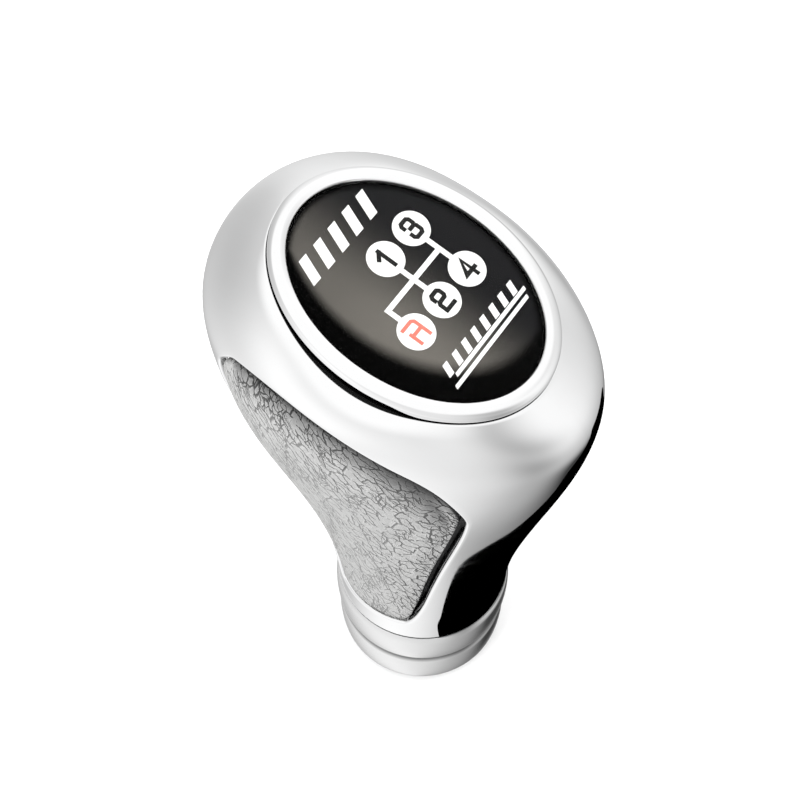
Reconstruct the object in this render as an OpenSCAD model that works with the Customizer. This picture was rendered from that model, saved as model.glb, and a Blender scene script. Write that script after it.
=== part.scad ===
// Gear shift knob with leather side panels, a plated shell and a clamp collar.
// +Z runs up the lever, the driver sits at -Y, and the origin is the middle of
// the lever hole's mouth, level with the foot of the collar.

/* [Badge] */
// Length of the badge, fore and aft
badge_len = 38.2; // [34:0.1:42]
// Width of the badge
badge_wid = 28.6; // [25:0.1:31]
// Height of the badge's middle above the foot
badge_z = 99.4; // [94:0.1:110]
// How far the badge's middle sits ahead of the lever
badge_y = 2.9; // [1:0.1:5]
// Tilt of the badge toward the driver, in degrees
badge_tilt = 13.6; // [8:0.1:18]
// Height of the clear dome's crown over its edge
dome_rise = 1.7; // [0.8:0.1:2.5]
// Thickness of the clear dome at its edge
dome_edge = 0.5; // [0.3:0.1:0.8]
// Thickness of the printed badge plate
plate_t = 0.8; // [0.5:0.1:1]
// Thickness of the foam pad that holds the badge plate
pad_t = 0.8; // [0.5:0.1:1]
// Width of the tray's rim, which carries the edge of the badge plate
tray_wall = 1.3; // [1:0.1:1.8]
// Thickness of the tray's floor
tray_floor = 2.2; // [1.8:0.1:2.6]

/* [Bezel] */
// Width of the raised ring round the badge
bezel_w = 2.5; // [2:0.1:3]
// Height of the ring's crown over the badge's edge
bezel_rise = 0.5; // [0.2:0.1:1]
// Thickness of the ring's lip, which ends level with the shell's rim
bezel_lip = 1.2; // [0.9:0.1:1.4]
// Thickness of the ring's skirt, pressed into the tray
skirt_t = 0.5; // [0.4:0.05:0.6]
// Depth of the skirt below the lip
skirt_h = 1.6; // [1.2:0.1:2]
// Thickness of the tray's outer wall, seen in the step under the lip
step_wall = 0.6; // [0.5:0.05:0.7]
// Extra height of the step at the sides, where the shell dips below the lip
side_dip = 1.7; // [1:0.1:2.2]

/* [Head] */
// Half width of the head at its belly line
head_half_w = 23.4; // [21.5:0.1:26]
// Reach of the nose from the lever's axis toward the driver
nose_reach = 25.6; // [23.5:0.1:28]
// Reach of the rear of the head from the lever's axis
rear_reach = 33.4; // [31:0.1:36]
// How far ahead of the lever the head is widest
belly_y = 7.7; // [5:0.1:10]
// Drop from the badge's middle to the belly line, at the sides
belly_drop = 10; // [8.5:0.1:12]
// Drop from the badge's middle to the belly line, at the nose
nose_drop = 14.6; // [12.5:0.1:17]
// Drop from the badge's middle to the belly line, at the rear
rear_drop = 5.7; // [4.5:0.1:7.5]
// Slope of the shell where it meets the bezel, in degrees
rim_slope = 20; // [12:1:26]

/* [Neck] */
// Radius of the neck band
neck_r = 14.4; // [13.9:0.1:15.5]
// Wall of the plated shell
shell_t = 3; // [2.4:0.1:3.2]

/* [Side panels] */
// Gap between a side panel and the edge of its window
panel_gap = 0.4; // [0.3:0.05:0.7]
// Extra width of that gap in the middle of the window's front edge
front_gap = 0.7; // [0:0.1:1.2]
// How far the leather's edge lies below the plated skin
leather_sink = 0.35; // [0.2:0.05:0.8]
// Crown of the leather over its edge
leather_crown = 0.8; // [0:0.05:1]
// Thickness of the leather
leather_t = 1.1; // [0.8:0.1:1.3]
// Thickness of the foam under the leather
foam_t = 0.5; // [0.3:0.1:0.6]
// Radius of the pegs that hold a panel to the core
peg_r = 1.5; // [1:0.1:2]
// Length of the pegs below the panel
peg_len = 4; // [3:0.1:6]

/* [Collar] */
// Height of the ribbed lock collar
collar_h = 20; // [18.5:0.1:22]
// Radius of the collar's foot
collar_foot_r = 13.6; // [13.3:0.1:14.5]
// Radius of the collar under the neck band
collar_top_r = 14.5; // [14:0.1:15.5]
// How far the collar's ribs stand out
rib_h = 0.55; // [0.2:0.05:0.8]
// Number of ribs
rib_count = 2; // [2:1:3]
// Rounding of the collar's foot
foot_round = 1.6; // [1:0.1:2]
// Thickness of the collar's bottom wall
collar_floor = 3; // [2.5:0.1:3.5]
// Thread pitch, which is the collar's travel in one turn
thread_pitch = 1.5; // [1:0.25:2]
// Turns that free the collar from its thread
thread_turns = 5; // [4:1:5]

/* [Lever clamp] */
// Radius of the lever that the sleeve takes
lever_r = 6; // [5:0.1:6.2]
// Wall of the split sleeve
sleeve_wall = 1.2; // [1:0.1:1.3]
// Length of the sleeve
sleeve_len = 40; // [36:0.5:42]
// Width of the sleeve's slots
slot_w = 1.2; // [0.8:0.1:1.6]
// Radius of the bush's outside thread
bush_r = 10; // [9.6:0.1:10.2]
// Radius of the bush's stem inside the core
stem_r = 9; // [8.6:0.1:9.3]
// Radius of the bush's band round the grub screws
band_r = 10.9; // [10.7:0.1:11]
// Radius of the grub screws
grub_r = 2; // [1.5:0.1:2]
// Number of grub screws
grub_count = 3; // [3:1:4]
// Thickness of the rubber buffer at the lever's tip
buffer_t = 3; // [2:0.1:4]

/* [Hidden] */
$fn = 96;

// Gap between seated pieces, and the closer one of turned fits
seat_gap = 0.3;
fit_gap = 0.05;

// The neck band starts one seat gap above the collar
neck_z = collar_h + seat_gap;

// Half axes of the badge and of the shell's rim, which the bezel's lip covers
badge_a = badge_len / 2;
badge_b = badge_wid / 2;
rim_a = badge_a + bezel_w;
rim_b = badge_b + bezel_w;
lip_under = bezel_rise - bezel_lip;

// Belly line: its heights at the side, the nose and the rear
side_z = badge_z - belly_drop;
nose_z = badge_z - nose_drop;
rear_z = badge_z - rear_drop;

// Fullness of the side, nose and rear lines: how long the line holds the
// neck's direction, and the belly's below and above it, and the rim's, each as
// a share of the span it works over
side_full = [0.55, 0.25, 0.54, 0.56];
nose_full = [0.38, 0.21, 0.58, 0.72];
rear_full = [0.38, 0.28, 0.56, 0.46];

function mix(a, b, f) = a + (b - a) * f;
function unit(v) = v / norm(v);
function bezier(p, q, r, s, t) =
    pow(1 - t, 3) * p + 3 * pow(1 - t, 2) * t * q + 3 * (1 - t) * t * t * r + pow(t, 3) * s;

// Guide lines are points [reach, height]. t runs from 0 at the neck band over
// 1 at the belly to 2 at the rim.
function lower_line(neck, belly, full, t) = let (h = belly[1] - neck[1])
    bezier(neck, neck + [0, full[0] * h], belly - [0, full[1] * h], belly, t);
function upper_line(belly, rim, out, full, t) =
    let (h = rim[1] - belly[1], run = abs(belly[0] - rim[0]))
    bezier(belly, belly + [0, full[2] * h], rim + full[3] * run * out, rim, t);
function guide(neck, belly, rim, out, full, t) =
    t <= 1 ? lower_line(neck, belly, full, t) : upper_line(belly, rim, out, full, t - 1);

// A point of the badge's tilted frame, in the side view
function badge_point(along, up) = [
    badge_y + along * cos(badge_tilt) - up * sin(badge_tilt),
    badge_z + along * sin(badge_tilt) + up * cos(badge_tilt)];
rim_up = lip_under - seat_gap;
rim_side = [rim_b, badge_point(0, rim_up)[1]];
rim_side_y = badge_point(0, rim_up)[0];
rim_nose = badge_point(-rim_a, rim_up);
rim_rear = badge_point(rim_a, rim_up);
rim_fall = [0, -sin(rim_slope)];

function side_line(t) = guide([neck_r, neck_z], [head_half_w, side_z], rim_side,
    [cos(rim_slope), 0] + rim_fall, side_full, t);
function nose_line(t) = guide([-neck_r, neck_z], [-nose_reach, nose_z], rim_nose,
    -[cos(badge_tilt), sin(badge_tilt)] * cos(rim_slope) + rim_fall, nose_full, t);
function rear_line(t) = guide([neck_r, neck_z], [rear_reach, rear_z], rim_rear,
    [cos(badge_tilt), sin(badge_tilt)] * cos(rim_slope) + rim_fall, rear_full, t);
function side_y(t) = t <= 1 ? bezier(0, 0, belly_y, belly_y, t)
    : bezier(belly_y, belly_y, rim_side_y, rim_side_y, t - 1);

// The shell dips under the lip at both sides, over less than half the way round
dip_power = 8;
function dip(th, t) = t <= 1 ? 0
    : side_dip * pow(abs(cos(th)), dip_power) * pow(t - 1, 2) * (5 - 2 * t);

// The plated skin. th is -90 at the nose, 0 at the right side and 90 at the rear.
function skin(th, t) =
    let (s = sin(th), w = side_line(t), n = nose_line(t), r = rear_line(t), y = side_y(t))
    [w[0] * cos(th),
     y + (r[0] - n[0]) / 2 * s + ((r[0] + n[0]) / 2 - y) * s * s,
     w[1] + (r[1] - n[1]) / 2 * s + ((r[1] + n[1]) / 2 - w[1]) * s * s - dip(th, t)];
step = 0.01;
function across(th, t) = (skin(th + 1, t) - skin(th - 1, t)) / 2;
function upward(th, t) =
    let (lo = max(t - step, 0), hi = min(t + step, 2)) (skin(th, hi) - skin(th, lo)) / (hi - lo);
function outward(th, t) = unit(cross(across(th, t), upward(th, t)));
function below(th, t, depth) = skin(th, t) - depth * outward(th, t);

// Window for a side panel, as [degrees round, t] corners with their rounding.
// The edges between them are cubic curves.
window_corners = [[-28, 0.06], [42, 0.06], [26, 1.27], [-47.6, 0.834]];
window_round = [0.12, 0.16, 0.03, 0.15];
window_pulls = [
    [[-8, 0.045], [20, 0.045]],
    [[40, 0.5], [33, 0.9]],
    [[11.2, 1.5], [-12, 1.585]],
    [[-50.3, 0.723], [-46.7, 0.323]]];
window_middle = [0, 0.62];
// Segments of the window's bottom, rear, top and front, and of half a corner
side_segs = [14, 20, 18, 20];
side_starts = [0, 14, 34, 52];
loop_n = 72;
corner_segs = 2;
shell_rings = 8;
panel_rings = 4;

function window_edge(i, u) = bezier(window_corners[i], window_pulls[i][0], window_pulls[i][1],
    window_corners[(i + 1) % 4], u);
function window_corner(i, q) =
    let (b = (i + 3) % 4, f = window_round[i])
    pow(1 - q, 2) * window_edge(b, 1 - f) + 2 * q * (1 - q) * window_corners[i]
        + q * q * window_edge(i, f);
function window_point(i, j) =
    let (n = side_segs[i], e = (i + 1) % 4)
    j < corner_segs ? window_corner(i, 0.5 + 0.5 * j / corner_segs)
    : j > n - corner_segs ? window_corner(e, 0.5 - 0.5 * (n - j) / corner_segs)
    : window_edge(i, mix(window_round[i], 1 - window_round[e],
        (j - corner_segs) / (n - 2 * corner_segs)));
window_loop = [for (i = [0:3]) for (j = [0:side_segs[i] - 1]) window_point(i, j)];

// Outer border of one half of the shell, matched point for point to the window.
// More than half of its rows lie below the belly line.
belly_share = 0.68;
function row_t(s) = s < belly_share ? s / belly_share : 1 + (s - belly_share) / (1 - belly_share);
function border_point(i, s) =
    i == 0 ? [mix(-90, 90, s), 0] : i == 1 ? [90, row_t(s)]
    : i == 2 ? [mix(90, -90, s), 2] : [-90, row_t(1 - s)];
border_loop = [for (i = [0:3]) for (j = [0:side_segs[i] - 1]) border_point(i, j / side_segs[i])];

// Moves a point of the window's edge inward along the skin by a true distance
function inset_point(k, gap) =
    let (p = window_loop[k], a = window_loop[(k + loop_n - 1) % loop_n],
        b = window_loop[(k + 1) % loop_n],
        along = skin(b[0], b[1]) - skin(a[0], a[1]),
        inward = gap * unit(cross(outward(p[0], p[1]), along)),
        e = across(p[0], p[1]), f = upward(p[0], p[1]),
        ee = e * e, ef = e * f, ff = f * f, det = ee * ff - ef * ef,
        de = inward * e, df = inward * f)
    p + [(de * ff - df * ef) / det, (df * ee - de * ef) / det];

// Gap at one point of the loop: it widens along the front edge
gap_power = 0.5;
function gap_at(k) = let (s = (k - side_starts[3]) / side_segs[3])
    panel_gap + (s > 0 ? front_gap * pow(sin(180 * s), gap_power) : 0);

// The moulded stack under the leather fills the shell's thickness
leather_floor = leather_sink + leather_t;
foam_floor = leather_floor + foam_t;

// Side panel layer between two depths. The top one may rise to a crown.
function panel_sheet(depth, crown) = concat(
    [below(window_middle[0], window_middle[1], depth - crown)],
    [for (r = [1:panel_rings]) for (k = [0:loop_n - 1])
        let (f = r / panel_rings, p = mix(window_middle, inset_point(k, gap_at(k)), f))
        below(p[0], p[1], depth - crown * (1 - pow(f, 4)))]);
function sheet_at(r, k) = 1 + (r - 1) * loop_n + k % loop_n;
sheet_size = 1 + panel_rings * loop_n;
panel_faces = concat(
    [for (k = [0:loop_n - 1]) [0, sheet_at(1, k + 1), sheet_at(1, k)]],
    [for (r = [1:panel_rings - 1]) for (k = [0:loop_n - 1]) each [
        [sheet_at(r, k), sheet_at(r, k + 1), sheet_at(r + 1, k + 1)],
        [sheet_at(r, k), sheet_at(r + 1, k + 1), sheet_at(r + 1, k)]]]);
function flip(faces, add) = [for (f = faces) [f[2] + add, f[1] + add, f[0] + add]];
panel_walls = [for (k = [0:loop_n - 1])
    let (a = sheet_at(panel_rings, k), b = sheet_at(panel_rings, k + 1))
    each [[a, b, b + sheet_size], [a, b + sheet_size, a + sheet_size]]];

module panel_layer(top, bottom, crown_top, crown_bottom) {
    polyhedron(
        points = concat(panel_sheet(top, crown_top), panel_sheet(bottom, crown_bottom)),
        faces = concat(panel_faces, flip(panel_faces, sheet_size), panel_walls));
}

// Pegs stand on the side line, at these places between the neck and the belly
peg_places = [0.4, 0.7, 1];
module pegs(r, top, len) {
    for (t = peg_places)
        translate([side_line(t)[0] - top - len, side_y(t), side_line(t)[1]])
            rotate([0, 90, 0]) cylinder(r = r, h = len, $fn = 32);
}

module leather() {
    panel_layer(leather_sink, leather_floor, leather_crown, leather_crown);
}

module foam() {
    panel_layer(leather_floor, foam_floor, leather_crown, 0);
}

// A peg's root inside the panel, and its hole's extra depth in the core
peg_root = 0.4;
peg_room = 0.6;
module carrier() {
    panel_layer(foam_floor, shell_t, 0, 0);
    pegs(peg_r, shell_t - peg_root, peg_len + peg_root);
}

module right_leather_panel() { color("dimgray") leather(); }
module left_leather_panel() { color("dimgray") mirror([1, 0, 0]) leather(); }
module right_foam_layer() { color("whitesmoke") foam(); }
module left_foam_layer() { color("whitesmoke") mirror([1, 0, 0]) foam(); }
module right_insert_carrier() { color("black") carrier(); }
module left_insert_carrier() { color("black") mirror([1, 0, 0]) carrier(); }

// Plated shell: two halves round the windows, joined along the nose and rear
ring_size = loop_n * (shell_rings + 1);
border_k = shell_rings * loop_n;
rear_first = side_starts[1];
rear_last = side_starts[2];
front_first = side_starts[3];
function on_seam(k) = (k >= rear_first && k <= rear_last) || k >= front_first || k == 0;
function shell_sheet(depth, flip_x) =
    [for (r = [0:shell_rings]) for (k = [0:loop_n - 1])
        let (p = mix(window_loop[k], border_loop[k], r / shell_rings),
            q = below(p[0], p[1], depth))
        [r == shell_rings && on_seam(k) ? 0 : flip_x * q[0], q[1], q[2]]];
function shell_at(half, layer, r, kk) =
    let (k = kk % loop_n)
    ((half == 1 && r == shell_rings && on_seam(k) ? 0 : half) * 2 + layer) * ring_size
        + r * loop_n + k;
function quad(a, b, c, d, turn) =
    turn ? [[a, c, b], [a, d, c]] : [[a, b, c], [a, c, d]];
shell_faces = [for (half = [0, 1])
    each concat(
        [for (layer = [0, 1]) for (r = [0:shell_rings - 1]) for (k = [0:loop_n - 1])
            each quad(shell_at(half, layer, r, k), shell_at(half, layer, r, k + 1),
                shell_at(half, layer, r + 1, k + 1), shell_at(half, layer, r + 1, k),
                (half + layer) % 2 == 1)],
        [for (k = [0:loop_n - 1])
            each quad(shell_at(half, 0, 0, k), shell_at(half, 1, 0, k),
                shell_at(half, 1, 0, k + 1), shell_at(half, 0, 0, k + 1), half == 1)],
        [for (k = [0:loop_n - 1]) if (k < rear_first || (k >= rear_last && k < front_first))
            each quad(shell_at(half, 0, shell_rings, k), shell_at(half, 0, shell_rings, k + 1),
                shell_at(half, 1, shell_rings, k + 1), shell_at(half, 1, shell_rings, k),
                half == 1)])];

module chrome_shell() {
    color("silver")
        polyhedron(
            points = concat(shell_sheet(0, 1), shell_sheet(shell_t, 1),
                shell_sheet(0, -1), shell_sheet(shell_t, -1)),
            faces = shell_faces);
}

// Places in the tilted frame of the badge
module on_badge() {
    translate([0, badge_y, badge_z]) rotate([badge_tilt, 0, 0]) children();
}
module oval(half_w, half_l, low, high) {
    translate([0, 0, low]) scale([half_w / half_l, 1, 1]) cylinder(r = half_l, h = high - low);
}

// Heights in the badge's frame, from its edge down to the core's deck
plate_top = -dome_edge;
plate_low = plate_top - plate_t;
floor_top = plate_low - pad_t;
deck = floor_top - tray_floor;
tray_a = badge_a - fit_gap;
tray_b = badge_b - fit_gap;
plate_a = badge_a - fit_gap;
plate_b = badge_b - fit_gap;
pad_a = tray_a - tray_wall - seat_gap;
pad_b = tray_b - tray_wall - seat_gap;
ink_t = 0.1;

// The core's own skin lies this far below the shell and the panels
core_gap = 0.4;
core_depth = shell_t + core_gap;
core_peak = 6;
core_cols = 36;
core_rows = 16;
core_points = concat(
    [for (i = [0:core_rows]) for (k = [0:core_cols - 1])
        below(360 * k / core_cols, row_t(i / core_rows), core_depth)],
    [[0, 0, neck_z],
     [0, badge_point(0, deck + core_peak)[0], badge_point(0, deck + core_peak)[1]]]);
core_low = core_cols * (core_rows + 1);
function core_at(i, k) = i * core_cols + k % core_cols;
core_faces = concat(
    [for (i = [0:core_rows - 1]) for (k = [0:core_cols - 1])
        each quad(core_at(i, k), core_at(i + 1, k), core_at(i + 1, k + 1), core_at(i, k + 1),
            false)],
    [for (k = [0:core_cols - 1]) [core_at(0, k), core_at(0, k + 1), core_low]],
    [for (k = [0:core_cols - 1])
        [core_at(core_rows, k + 1), core_at(core_rows, k), core_low + 1]]);

// Clamp bush: heights of its thread, band and stem
floor_room = 1;
bush_low = collar_floor + floor_room;
thread_h = thread_pitch * thread_turns;
thread_relief = 1.6;
band_low = bush_low + thread_h + thread_relief;
band_high = neck_z;
sleeve_r = lever_r + sleeve_wall;
bush_bore = sleeve_r + fit_gap;
stem_top = sleeve_len + seat_gap + buffer_t;
grub_z = (band_low + band_high) / 2;

// Screws that hold the tray down on the core, as shares of the pad's half axes
tray_screw_places = [[0, 0.64], [0.55, -0.47], [-0.55, -0.47]];
tray_screw_r = 1.1;
tray_screw_len = 8;
tray_head_r = 2.1;
tray_head_h = 1;
head_room = 0.1;
tip_room = 0.5;
cross_l = 2.4;
cross_w = 0.5;
cross_h = 0.7;

module at_tray_screws() {
    for (p = tray_screw_places)
        translate([p[0] * pad_b, p[1] * pad_a, floor_top]) children();
}

module grip_core() {
    color("black")
        difference() {
            polyhedron(points = core_points, faces = core_faces);
            translate([0, 0, neck_z - 1]) cylinder(r = stem_r + fit_gap, h = stem_top - neck_z + 1);
            on_badge() {
                translate([-badge_len, -badge_len, deck]) cube(2 * badge_len);
                at_tray_screws()
                    translate([0, 0, -tray_screw_len - tip_room])
                        cylinder(r = tray_screw_r, h = tray_screw_len, $fn = 32);
            }
            for (side = [0, 1]) mirror([side, 0, 0])
                pegs(peg_r + fit_gap, shell_t - core_gap, core_gap + peg_len + peg_room);
        }
}

// Bezel ring: a rounded lip, level with the shell's rim, on a skirt that is
// pressed into a slot of the tray
skirt_out = skirt_t + fit_gap;
wall_out = skirt_out + fit_gap + step_wall;
crown_steps = 6;
lip_edge = 0.7;
crown_share = 0.7;
module bezel_ring() {
    color("silver") on_badge()
        difference() {
            union() {
                oval(badge_b + skirt_out, badge_a + skirt_out, lip_under - skirt_h, bezel_rise / 2);
                scale([rim_b / rim_a, 1, 1])
                    rotate_extrude()
                        polygon(concat([[0, lip_under], [rim_a - lip_edge, lip_under]],
                            [for (i = [0:crown_steps]) let (f = 90 * i / crown_steps)
                                [rim_a - crown_share * bezel_w * (1 - cos(f)),
                                 mix(lip_under + lip_edge, bezel_rise, sin(f))]],
                            [[0, bezel_rise]]));
            }
            oval(badge_b + fit_gap, badge_a + fit_gap, lip_under - skirt_h - 1, bezel_rise + 1);
        }
}

// Tray: it holds the badge, takes the ring's skirt in a slot and closes the step
module badge_tray() {
    color("black") on_badge()
        difference() {
            oval(badge_b + wall_out, badge_a + wall_out, deck, lip_under);
            difference() {
                oval(badge_b + skirt_out + fit_gap, badge_a + skirt_out + fit_gap,
                    lip_under - skirt_h - seat_gap, lip_under + 1);
                oval(tray_b, tray_a, lip_under - skirt_h - 1, plate_low - fit_gap);
            }
            oval(tray_b - tray_wall, tray_a - tray_wall, floor_top, 1);
            at_tray_screws() {
                translate([0, 0, -tray_head_h])
                    cylinder(r1 = tray_screw_r + head_room, r2 = tray_head_r + head_room,
                        h = tray_head_h + 0.01);
                translate([0, 0, -tray_floor - 1])
                    cylinder(r = tray_screw_r + head_room, h = tray_floor + 1);
            }
        }
}

module tray_screws() {
    color("dimgray") on_badge() at_tray_screws()
        difference() {
            union() {
                translate([0, 0, -tray_head_h])
                    cylinder(r1 = tray_screw_r, r2 = tray_head_r, h = tray_head_h);
                translate([0, 0, -tray_screw_len])
                    cylinder(r = tray_screw_r - fit_gap, h = tray_screw_len - tray_head_h);
            }
            for (turn = [0, 90]) rotate([0, 0, turn])
                translate([-cross_l / 2, -cross_w / 2, -cross_h]) cube([cross_l, cross_w, 1]);
        }
}

module badge_foam_pad() {
    color("whitesmoke") on_badge()
        oval(pad_b, pad_a, floor_top, plate_low);
}

module badge_plate() {
    color([0.13, 0.13, 0.13]) on_badge() oval(plate_b, plate_a, plate_low, plate_top - ink_t);
}

// Shift pattern on the badge: five round fields on a gate of straight lines
disc_r = 2.7;
gear_col = 6.2;
gear_row = 4.7;
pattern_x = 1.4;
pattern_y = 1.2;
gate_w = 0.75;
module ink(p) {
    translate([pattern_x + p[0], pattern_y + p[1], plate_top - ink_t]) children();
}
module gate_bar(x, y, w, l) {
    ink([x - w / 2, y - l / 2]) cube([w, l, ink_t]);
}
module shift_gate_print() {
    color("white") on_badge()
        union() {
            for (p = [[0, gear_row], [0, -gear_row], [gear_col, gear_row], [gear_col, -gear_row]])
                ink(p) cylinder(r = disc_r, h = ink_t);
            gate_bar(0, 0, gate_w, 2 * gear_row - disc_r);
            gate_bar(gear_col, 0, gate_w, 2 * gear_row - disc_r);
            gate_bar(0, 0, 2 * gear_col + gate_w, gate_w);
            gate_bar(-gear_col, -gear_row / 2, gate_w, gear_row);
            ink([-gear_col, -gear_row]) cylinder(r = disc_r, h = ink_t);
        }
}

// A row of slanted bars ahead of the pattern, a finer row behind it, and two
// strokes under that. Rows are [left end, bottom, count, pitch, width, height].
bar_rows = [[-8.3, 10.9, 5, 3.3, 1.6, 3.7], [-7.4, -10.8, 8, 2.25, 1, 1.8]];
bar_slant = 0.43;
strokes = [[-6.6, -11.5, 17], [-8.1, -12.5, 17.7]];
stroke_w = 0.55;
module slant_bar(x, y, w, h) {
    translate([x, y, plate_top - ink_t])
        linear_extrude(ink_t)
            polygon([[0, 0], [w, 0], [w + bar_slant * h, h], [bar_slant * h, h]]);
}
module stripe_print() {
    color("white") on_badge() {
        for (row = bar_rows, i = [0:row[2] - 1])
            slant_bar(row[0] + i * row[3], row[1], row[4], row[5]);
        for (line = strokes) slant_bar(line[0], line[1], line[2], stroke_w);
    }
}

// The reverse field's mark, on the white of its disc
mark_r = 2;
mark_w = 0.5;
module reverse_print() {
    color("salmon") on_badge()
        ink([-gear_col, -gear_row]) translate([0, 0, ink_t])
            difference() {
                cylinder(r = mark_r, h = ink_t / 2);
                translate([0, 0, -1]) cylinder(r = mark_r - mark_w, h = 2);
            }
}

// Clear dome: a flat-bottomed lens of poured resin over an oval
dome_low = plate_top + ink_t;
dome_segs = 48;
dome_rings = 6;
function dome_point(i, k) = let (f = sin(90 * i / dome_rings), a = 360 * k / dome_segs)
    [plate_b * f * cos(a), plate_a * f * sin(a), dome_rise * (1 - f * f)];
dome_points = concat([[0, 0, dome_rise]],
    [for (i = [1:dome_rings]) for (k = [0:dome_segs - 1]) dome_point(i, k)],
    [for (k = [0:dome_segs - 1])
        [dome_point(dome_rings, k)[0], dome_point(dome_rings, k)[1], dome_low]]);
function dome_at(i, k) = 1 + (i - 1) * dome_segs + k % dome_segs;
dome_faces = concat(
    [for (k = [0:dome_segs - 1]) [0, dome_at(1, k + 1), dome_at(1, k)]],
    [for (i = [1:dome_rings]) for (k = [0:dome_segs - 1])
        each quad(dome_at(i, k), dome_at(i, k + 1), dome_at(i + 1, k + 1), dome_at(i + 1, k),
            false)],
    [[for (k = [0:dome_segs - 1]) dome_at(dome_rings + 1, k)]]);
module badge_dome() {
    color([0.9, 0.9, 0.9, 0.3]) on_badge() polyhedron(points = dome_points, faces = dome_faces);
}

// Metal bush in the core. Its band takes the grub screws, its thread the collar.
mouth_cut = 0.6;
module clamp_bush() {
    color("goldenrod")
        difference() {
            union() {
                translate([0, 0, bush_low]) cylinder(r = bush_r, h = band_low - bush_low + 0.1);
                translate([0, 0, band_low]) cylinder(r = band_r, h = band_high - band_low);
                translate([0, 0, band_high - 0.1])
                    cylinder(r = stem_r, h = stem_top - band_high + 0.1);
            }
            translate([0, 0, bush_low - 1]) cylinder(r = bush_bore, h = stem_top);
            translate([0, 0, bush_low])
                cylinder(r1 = bush_bore + mouth_cut, r2 = bush_bore, h = mouth_cut);
            for (k = [0:grub_count - 1]) rotate([0, 0, 360 * k / grub_count - 90])
                translate([0, 0, grub_z]) rotate([0, 90, 0])
                    cylinder(r = grub_r + fit_gap, h = band_r + 1, $fn = 48);
        }
}

// Grub screws: a coned tip, and a hexagon socket in the end sunk into the band
grub_tip = bush_bore + fit_gap;
grub_sink = 0.2;
grub_len = band_r - grub_tip - grub_sink;
cone_r = grub_r * 0.7;
cone_h = 0.6;
socket_r = grub_r * 0.58;
socket_h = 1.8;
module grub_screws() {
    color("dimgray")
        for (k = [0:grub_count - 1]) rotate([0, 0, 360 * k / grub_count - 90])
            translate([grub_tip, 0, grub_z]) rotate([0, 90, 0])
                difference() {
                    union() {
                        cylinder(r1 = cone_r, r2 = grub_r, h = cone_h, $fn = 48);
                        translate([0, 0, cone_h])
                            cylinder(r = grub_r, h = grub_len - cone_h, $fn = 48);
                    }
                    translate([0, 0, grub_len - socket_h])
                        cylinder(r = socket_r, h = socket_h + 1, $fn = 6);
                }
}

module adapter_sleeve() {
    color("darkgray")
        difference() {
            cylinder(r = sleeve_r, h = sleeve_len);
            translate([0, 0, -1]) cylinder(r = lever_r, h = sleeve_len + 2);
            for (k = [0:2]) rotate([0, 0, 120 * k + 90])
                translate([lever_r - 1, -slot_w / 2, bush_low + thread_h])
                    cube([sleeve_wall + 2, slot_w, sleeve_len]);
        }
}

buffer_r = sleeve_r - 0.1;
module lever_buffer() {
    color("black")
        translate([0, 0, sleeve_len + seat_gap / 2]) cylinder(r = buffer_r, h = buffer_t);
}

// Ribbed collar: soft ribs between narrow valleys, on a slight taper
collar_bore = sleeve_r + 0.4;
band_room = 0.5;
rib_power = 0.6;
rib_steps = 10;
function collar_r(z) =
    let (f = (z - foot_round) / (collar_h - foot_round), g = f * rib_count - floor(f * rib_count))
    mix(collar_foot_r, collar_top_r, f) + rib_h * pow(sin(180 * g), rib_power);
o_ring_r = 0.55;
o_ring_drop = 1.5;
o_ring_z = collar_h - o_ring_drop;
o_ring_path = band_r + fit_gap + o_ring_r;
module lock_collar() {
    color("silver")
        difference() {
            rotate_extrude()
                polygon(concat(
                    [[0, 0], [collar_foot_r - foot_round, 0]],
                    [for (i = [1:5]) let (a = 18 * i)
                        [collar_foot_r - foot_round * (1 - sin(a)), foot_round * (1 - cos(a))]],
                    [for (i = [1:rib_steps * rib_count - 1])
                        let (z = mix(foot_round, collar_h, i / (rib_steps * rib_count)))
                        [collar_r(z), z]],
                    [[collar_top_r, collar_h], [0, collar_h]]));
            translate([0, 0, -1]) cylinder(r = collar_bore, h = collar_h);
            translate([0, 0, collar_floor]) cylinder(r = bush_r + fit_gap, h = collar_h);
            translate([0, 0, band_low - thread_relief / 2])
                cylinder(r = band_r + band_room, h = collar_h);
            translate([0, 0, o_ring_z - o_ring_r - fit_gap])
                cylinder(r = o_ring_path + o_ring_r + fit_gap, h = 2 * (o_ring_r + fit_gap));
        }
}

module collar_o_ring() {
    color("black") translate([0, 0, o_ring_z])
        rotate_extrude() translate([o_ring_path, 0]) circle(r = o_ring_r, $fn = 32);
}

grip_core();
chrome_shell();
bezel_ring();
badge_tray();
tray_screws();
badge_foam_pad();
badge_plate();
shift_gate_print();
reverse_print();
stripe_print();
badge_dome();
left_insert_carrier();
right_insert_carrier();
left_foam_layer();
right_foam_layer();
left_leather_panel();
right_leather_panel();
clamp_bush();
grub_screws();
adapter_sleeve();
lever_buffer();
lock_collar();
collar_o_ring();
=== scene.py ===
# %% [markdown]
# # A gear shift knob with leather side panels
# A driver's hand rests on this knob. A plated shell wraps a moulded core, grey leather fills a
# window in each side, and a domed badge on top shows the shift pattern. A ribbed collar locks the
# knob to the lever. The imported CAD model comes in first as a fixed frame, and every piece made
# here sits where that frame says.

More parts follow.
